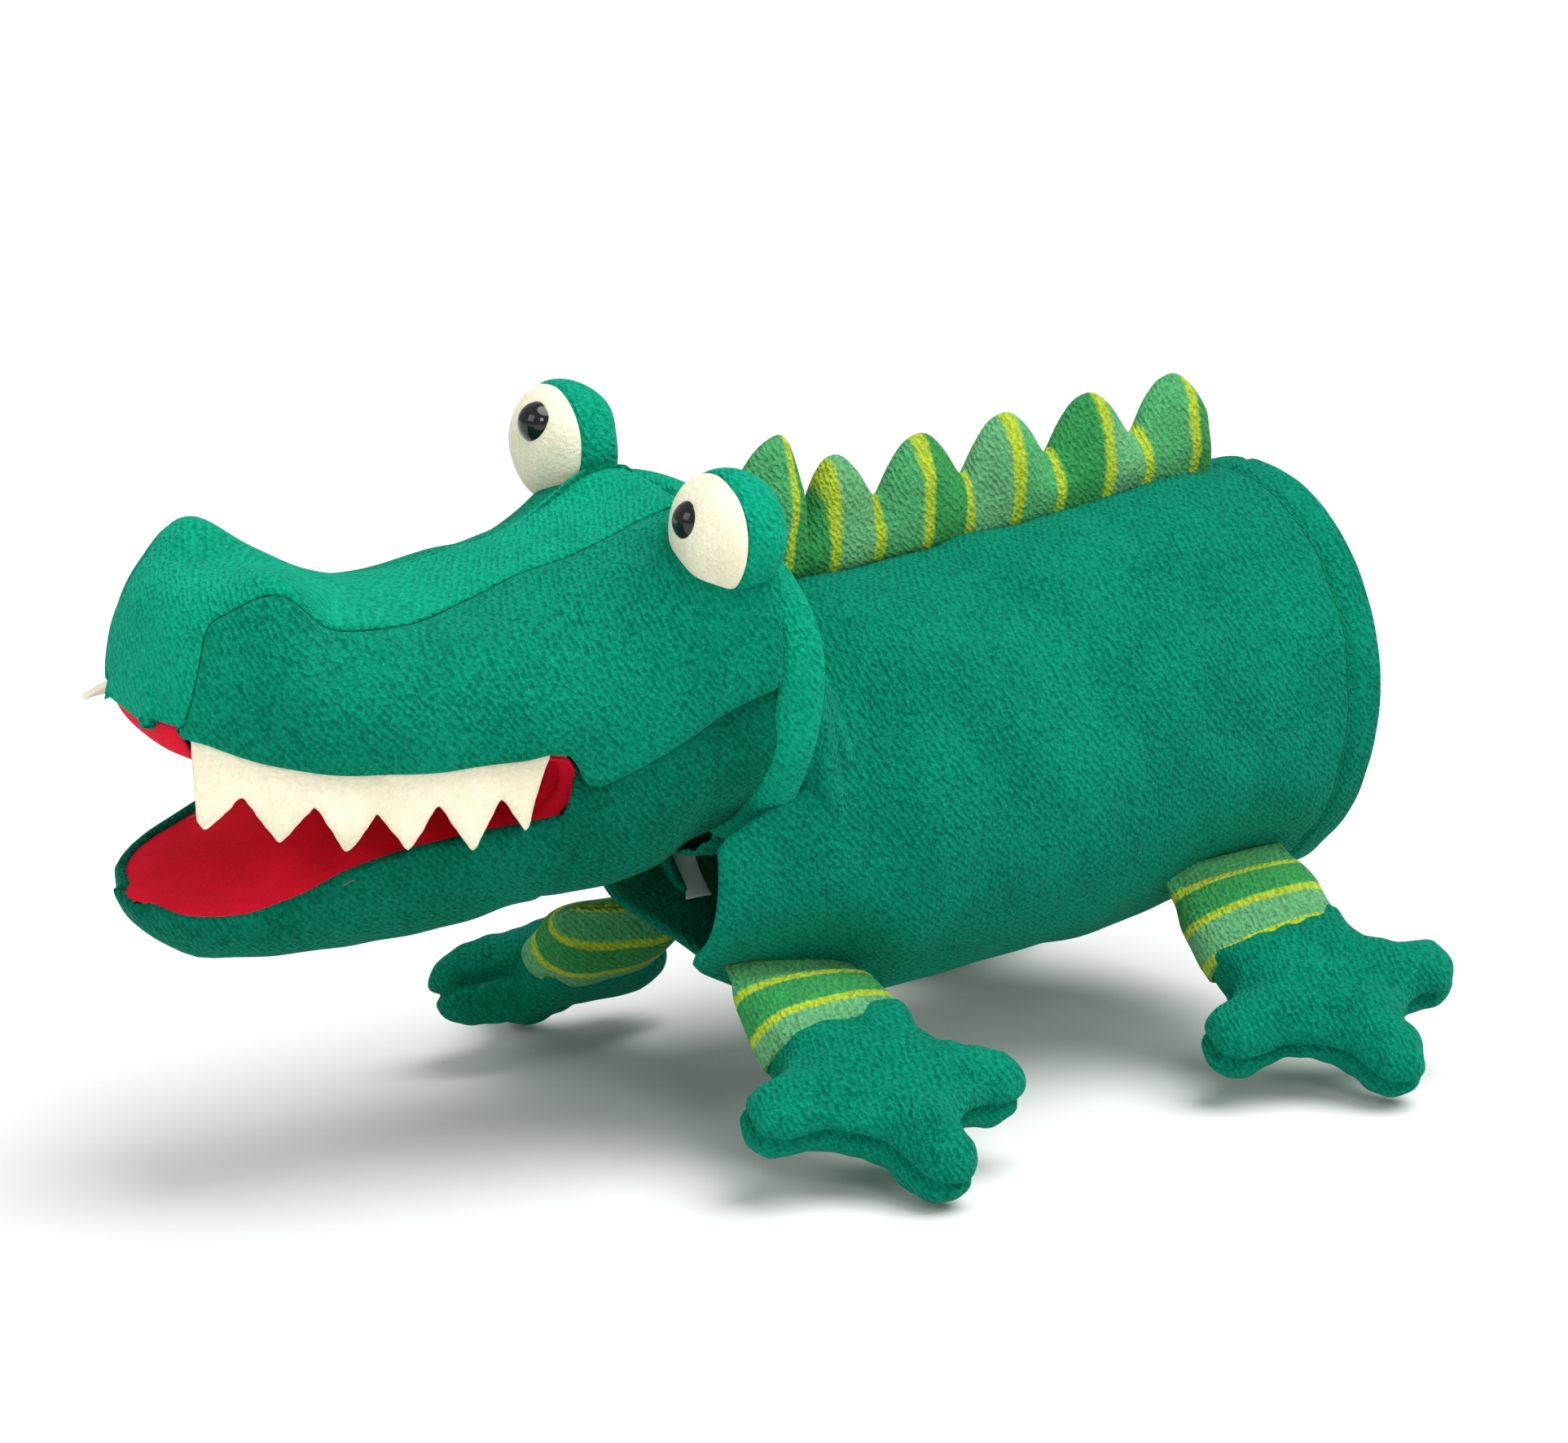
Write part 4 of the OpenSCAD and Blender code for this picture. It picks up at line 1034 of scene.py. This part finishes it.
for rear in (False, True):
    for side, hand in ((1, "left"), (-1, "right")):
        leg = ("rear_" if rear else "front_") + hand
        long = SLEEVE_LONG[rear]
        drop = LEG_DROP[rear]
        reach = np.concatenate([[-5, -3, -1.2, 0], np.linspace(1.2, long - 2, 22), [long - 1, long, long + 1]])
        thick_at = line_through([(-5, 1.6), (0, 2.4), (4, 6.5), (10, 9.5), (long - 6, 11.2), (long + 2, 11.4)])
        wide_at = line_through([(-5, 22), (0, 23), (5, 23.5), (10, 23.6), (long - 6, 23.8), (long + 2, 24)])
        ring = np.linspace(0, 2 * math.pi, 64, endpoint=False)
        grid_s, grid_ring = np.meshgrid(reach, ring, indexing="ij")
        twist = np.radians(HIP_SLOPE[rear] + (FOOT_LEAN[rear] - HIP_SLOPE[rear]) * np.clip(grid_s / long, 0, 1))
        w = wide_at(grid_s) * rounded_power(np.cos(grid_ring), 0.86)
        t = thick_at(grid_s) * rounded_power(np.sin(grid_ring), 0.86)
        local = np.stack([grid_s, w * np.cos(twist) - t * np.sin(twist), t * np.cos(twist) + w * np.sin(twist)], -1)
        local[..., 1:] *= 1 + (0.03 * folds(local, 17, 101 + 2 * rear + side) * smooth(grid_s / 6))[..., None]
        sleeve_points = hip_point(rear) + turned(local, (0, 1, 0), drop)
        marks = LEG_STRIPES * grid_s + (12.5 if rear else 10.0)
        sleeve = cloth("leg_" + leg, sleeve_points * [side, 1, 1], 1.6, velour_stripes, closed=True, marks=marks)
        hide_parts("sleeve_" + leg)
        hip = hip_point(rear) * [side, 1, 1]
        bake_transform(sleeve)
print("sleeves done")

# %% [markdown]
# A foot is two velour pieces sewn together round the edge and stuffed: three fat toes. Cloth
# simulation with pressure inside gives the tight, slightly uneven skin of stuffing. The foot's CAD
# solids are copied, remeshed evenly and blown up a little; all feet are simulated together.

# %% Copy and remesh the feet
FOOT_VOXEL = 0.0045


def evaluated_copy(piece):
    graph = bpy.context.evaluated_depsgraph_get()
    return bpy.data.meshes.new_from_object(piece.evaluated_get(graph), depsgraph=graph)


def remeshed(name, nodes, filling, voxel):
    work = bmesh.new()
    for node_name in nodes:
        work.from_mesh(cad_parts[node_name].data)
    corners = [work.verts.new(place * MM) for place in filling]
    bmesh.ops.convex_hull(work, input=corners)
    mesh = bpy.data.meshes.new(name)
    work.to_mesh(mesh)
    work.free()
    piece = bpy.data.objects.new(name, mesh)
    bpy.context.scene.collection.objects.link(piece)
    even = piece.modifiers.new("even", "REMESH")
    even.mode, even.voxel_size = "VOXEL", voxel
    calm = piece.modifiers.new("calm", "SMOOTH")
    calm.factor, calm.iterations = 0.5, 4
    mesh = evaluated_copy(piece)
    piece.modifiers.clear()
    piece.data = mesh
    return piece


def ankle_frame(rear, side):
    """The ankle's place and the foot's three directions: to the middle toe, to the rear, and up."""
    ankle = hip_point(rear) + SLEEVE_LONG[rear] * np.array([math.cos(LEG_DROP[rear]), 0, -math.sin(LEG_DROP[rear])])
    foot_drop = math.asin((ankle[2] - 12 + 0.1) / FOOT_LONG)
    ways = turned(turned(np.eye(3), (0, 1, 0), foot_drop), (1, 0, 0), math.radians(FOOT_LEAN[rear]))
    mirror = np.array([side, 1, 1])
    return ankle * mirror, ways * mirror


# The palm fills the bases of the toes: its outline from above, and its thickness
PALM_EDGE = [(2, -21), (12, -30), (31, -27), (46, -8), (46, 8), (37, 24), (24, 30), (2, 21)]
PALM_EDGE_HALF, PALM_MIDDLE, PALM_HALF = 7.0, (20, 0), 11.5


def palm(rear, side):
    ankle, ways = ankle_frame(rear, side)
    flat = [(x, y, h) for x, y in PALM_EDGE for h in (-PALM_EDGE_HALF, PALM_EDGE_HALF)]
    flat += [(*PALM_MIDDLE, -PALM_HALF), (*PALM_MIDDLE, PALM_HALF)]
    return ankle + np.array(flat, float) @ ways


feet = {}
for rear in (False, True):
    for side, hand in ((1, "left"), (-1, "right")):
        leg = ("rear_" if rear else "front_") + hand
        skins = ["foot_top_" + leg, "foot_sole_" + leg]
        feet[leg] = (remeshed("foot_" + leg, skins, palm(rear, side), FOOT_VOXEL), rear, side)
print("feet", {name: len(foot.data.vertices) for name, (foot, _, _) in feet.items()})

# %% Blow the feet up
CLOTH_FRAMES = 20
MOST_SWELL = 2.2


def coordinates(mesh):
    flat = np.empty(len(mesh.vertices) * 3, np.float32)
    mesh.vertices.foreach_get("co", flat)
    return flat.reshape(-1, 3).astype(float)


def stuff(pieces, pressure, frames, most):
    """Runs Cloth on several closed pieces at once and keeps the result, capped."""
    before = {}
    for piece in pieces:
        before[piece.name] = coordinates(piece.data)
        skin = piece.modifiers.new("skin", "CLOTH")
        skin.settings.use_pressure = True
        skin.settings.uniform_pressure_force = pressure
        skin.settings.effector_weights.gravity = 0
        skin.settings.tension_stiffness = 12
        skin.settings.bending_stiffness = 0.8
        skin.point_cache.frame_start, skin.point_cache.frame_end = 1, frames
    for step in range(1, frames + 1):
        bpy.context.scene.frame_set(step)
    for piece in pieces:
        mesh = evaluated_copy(piece)
        piece.modifiers.clear()
        after = coordinates(mesh)
        move = after - before[piece.name]
        length = np.linalg.norm(move, axis=1, keepdims=True)
        move *= np.minimum(1, most * MM / np.maximum(length, 1e-9))
        mesh.vertices.foreach_set("co", (before[piece.name] + move).astype(np.float32).ravel())
        piece.data = mesh
        print(piece.name, "swelled", round(float(length.max()) / MM, 2), "mm at most")
    bpy.context.scene.frame_set(1)


stuff([foot for foot, _, _ in feet.values()], 4.0, CLOTH_FRAMES, MOST_SWELL)

# %% Seams of the feet
for leg, (foot, rear, side) in feet.items():
    finer = foot.modifiers.new("finer", "SUBSURF")
    finer.levels = finer.render_levels = 2
    mesh = evaluated_copy(foot)
    foot.modifiers.clear()
    foot.data = mesh
    points = coordinates(mesh) / MM
    normals = np.empty(len(mesh.vertices) * 3, np.float32)
    mesh.vertices.foreach_get("normal", normals)
    normals = normals.reshape(-1, 3)
    ankle, ways = ankle_frame(rear, side)
    off_seam = (points - ankle) @ ways[2]
    ahead = (points - ankle) @ ways[0]
    flat_side = 1 - np.abs(normals @ ways[2])
    sink = 3.2 * bell(off_seam, 1.9) * smooth((ahead - 2) / 8) * flat_side
    sink -= 0.45 * folds(points, 24, 111 + side) + 0.3 * folds(points, 9, 113)
    sink = sink * smooth((points[:, 2]) / 3)
    points = points - normals * sink[:, None]
    points[:, 2] = np.maximum(points[:, 2], 0.15)
    mesh.vertices.foreach_set("co", (points * MM).astype(np.float32).ravel())
    for face in mesh.polygons:
        face.use_smooth = True
    mesh.materials.clear()
    mesh.materials.append(velour_body)
    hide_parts("foot_top_" + leg, "foot_sole_" + leg)
    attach(foot, "foot_" + leg)
print("foot faces", len(feet["front_left"][0].data.polygons))

# %% [markdown]
# A blank care label of white tape is sewn to the inside of the belly and shows under the throat.
# A flat strip with a soft curl is enough.

# %% Care label
LABEL_AT = body_point(np.array(4.0), np.array(math.radians(214)), BODY_WALL + 4.5)
label_s, label_w = np.meshgrid(np.linspace(-10, 10, 18), np.linspace(-7, 7, 10), indexing="ij")
inward = np.array([-math.cos(math.radians(214)), 0, -math.sin(math.radians(214))])
down = np.array([-inward[2], 0, inward[0]])
curl = 1.6 * (label_s / 10) ** 2 + 0.4 * np.sin(label_w * 0.5)
label_grid = LABEL_AT + label_s[..., None] * down + label_w[..., None] * np.array([0, 1, 0]) + curl[..., None] * inward
label = cloth("label", label_grid, 0.5, label_tape, centre=LABEL_AT - 30 * inward)
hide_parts("care_label")
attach(label, "torso")
sewn(label_grid)

# %% [markdown]
# The hem's stitches repeat around the rim, so Geometry Nodes lays them: a curve along the seam is
# cut into equal steps, and a short thread is set on each, turned along the seam. The threads become
# one mesh, and no modifier stays.

# %% Stitches along a seam
def stitch_tool():
    group = bpy.data.node_groups.new("stitches", "GeometryNodeTree")
    face = group.interface
    face.new_socket("Seam", in_out="INPUT", socket_type="NodeSocketGeometry")
    sizes = {}
    for name, value in (("Step", 0.004), ("Length", 0.0026), ("Thickness", 0.0005)):
        socket = face.new_socket(name, in_out="INPUT", socket_type="NodeSocketFloat")
        socket.default_value = value
        sizes[name] = socket.identifier
    thread = face.new_socket("Thread", in_out="INPUT", socket_type="NodeSocketMaterial")
    sizes["Thread"] = thread.identifier
    face.new_socket("Stitches", in_out="OUTPUT", socket_type="NodeSocketGeometry")

    def node(kind, settings=None, **links):
        made = group.nodes.new(kind)
        for key, value in (settings or {}).items():
            setattr(made, key, value)
        for key, value in links.items():
            socket = made.inputs[key.replace("_", " ")]
            if hasattr(value, "is_output"):
                group.links.new(value, socket)
            else:
                socket.default_value = value
        return made

    start = group.nodes.new("NodeGroupInput").outputs
    points = node("GeometryNodeResampleCurve", {"mode": "LENGTH"}, Curve=start["Seam"], Length=start["Step"])
    tangent = node("GeometryNodeInputTangent")
    align = node("FunctionNodeAlignRotationToVector", {"axis": "Z"}, Vector=tangent.outputs[0])
    shape = node("GeometryNodeMeshCylinder", {}, Vertices=6, Side_Segments=3, Fill_Segments=1,
                 Radius=start["Thickness"], Depth=start["Length"])
    laid = node("GeometryNodeInstanceOnPoints", {}, Points=points.outputs[0], Instance=shape.outputs[0],
                Rotation=align.outputs[0])
    real = node("GeometryNodeRealizeInstances", {}, Geometry=laid.outputs[0])
    painted = node("GeometryNodeSetMaterial", {}, Geometry=real.outputs[0], Material=start["Thread"])
    end = group.nodes.new("NodeGroupOutput")
    group.links.new(painted.outputs[0], end.inputs[0])
    return group, sizes


stitches, stitch_sockets = stitch_tool()


def sew(name, path, material, step, length, thickness, closed):
    line = bpy.data.curves.new(name + "_seam", "CURVE")
    line.dimensions = "3D"
    spline = line.splines.new("POLY")
    spline.points.add(len(path) - 1)
    spline.use_cyclic_u = closed
    for point, place in zip(spline.points, path):
        point.co = (*(np.asarray(place) * MM), 1)
    guide = bpy.data.objects.new(name + "_seam", line)
    bpy.context.scene.collection.objects.link(guide)
    tool = guide.modifiers.new("stitches", "NODES")
    tool.node_group = stitches
    for key, value in (("Step", step), ("Length", length), ("Thickness", thickness), ("Thread", material)):
        tool[stitch_sockets[key]] = value
    mesh = evaluated_copy(guide)
    bpy.data.objects.remove(guide)
    piece = bpy.data.objects.new(name, mesh)
    bpy.context.scene.collection.objects.link(piece)
    print(name, "has", len(mesh.polygons), "faces")
    return piece


hem_row = len(rows_front) + list(reversed(from_rear[:-1])).index(12)
hem_line = body_grid[hem_row] + body_out[hem_row] * 0.15
hem_stitches = sew("hem_stitches", hem_line, green_thread, 0.0042, 0.0027, 0.00045, True)
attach(hem_stitches, "torso")

# %% [markdown]
# What the CAD model shapes exactly, such as beads, washers, boards and the hidden padding and
# pockets, stays and only gets its finish.

# %% Finishes on the CAD pieces that stay
kept = {
    "eye_bead_left": bead_black, "eye_bead_right": bead_black,
    "eye_washer_left": grey_plastic, "eye_washer_right": grey_plastic,
    "upper_board": grey_board, "jaw_board": grey_board,
    "snout_filling": white_wadding, "jaw_filling": white_wadding,
    "finger_pocket": red_cotton, "thumb_pocket": red_cotton,
}
for node_name, finish in kept.items():
    node_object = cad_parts[node_name]
    node_object.data.materials.clear()
    node_object.data.materials.append(finish)
print("kept", len(kept), "CAD pieces")

# %% [markdown]
# The table is a wide white plane. One big soft light stands above and in front, a second one fills
# from the other side, and a white world keeps the shadows pale.

# %% Table and light
def soft_light(name, place, aim, size, power):
    data = bpy.data.lights.new(name, "AREA")
    data.shape, data.size, data.energy = "SQUARE", size, power
    lamp = bpy.data.objects.new(name, data)
    bpy.context.scene.collection.objects.link(lamp)
    lamp.location = place
    lamp.rotation_euler = (Vector(aim) - Vector(place)).to_track_quat("-Z", "Y").to_euler()


bpy.ops.mesh.primitive_plane_add(size=40)
table = bpy.context.object
table.name = "table"
white = Finish("white_table", Roughness=0.9, Specular_IOR_Level=0.1)
white.feed("Base Color", white.between(white.noise(3.0), (0.79, 0.79, 0.79), (0.82, 0.82, 0.82)))
table.data.materials.append(white.material)
sun_data = bpy.data.lights.new("overhead", "SUN")
sun_data.energy, sun_data.angle = 3.2, math.radians(55)
sun = bpy.data.objects.new("overhead", sun_data)
bpy.context.scene.collection.objects.link(sun)
sun.rotation_euler = (Vector((0, 0, 0)) - Vector((0.35, 0.25, 1.0))).to_track_quat("-Z", "Y").to_euler()
soft_light("window", (1.1, -0.35, 0.75), (0, 0, 0.1), 0.35, 3.0)
soft_light("front", (0.2, -1.4, 1.0), (0, 0, 0.1), 0.9, 6.0)
world = bpy.data.worlds.new("studio")
bpy.context.scene.world = world
world.use_nodes = True
world.node_tree.nodes["Background"].inputs["Color"].default_value = (1, 1, 1, 1)
world.node_tree.nodes["Background"].inputs["Strength"].default_value = 0.45
bpy.context.scene.view_settings.view_transform = "Standard"
print("lights set")
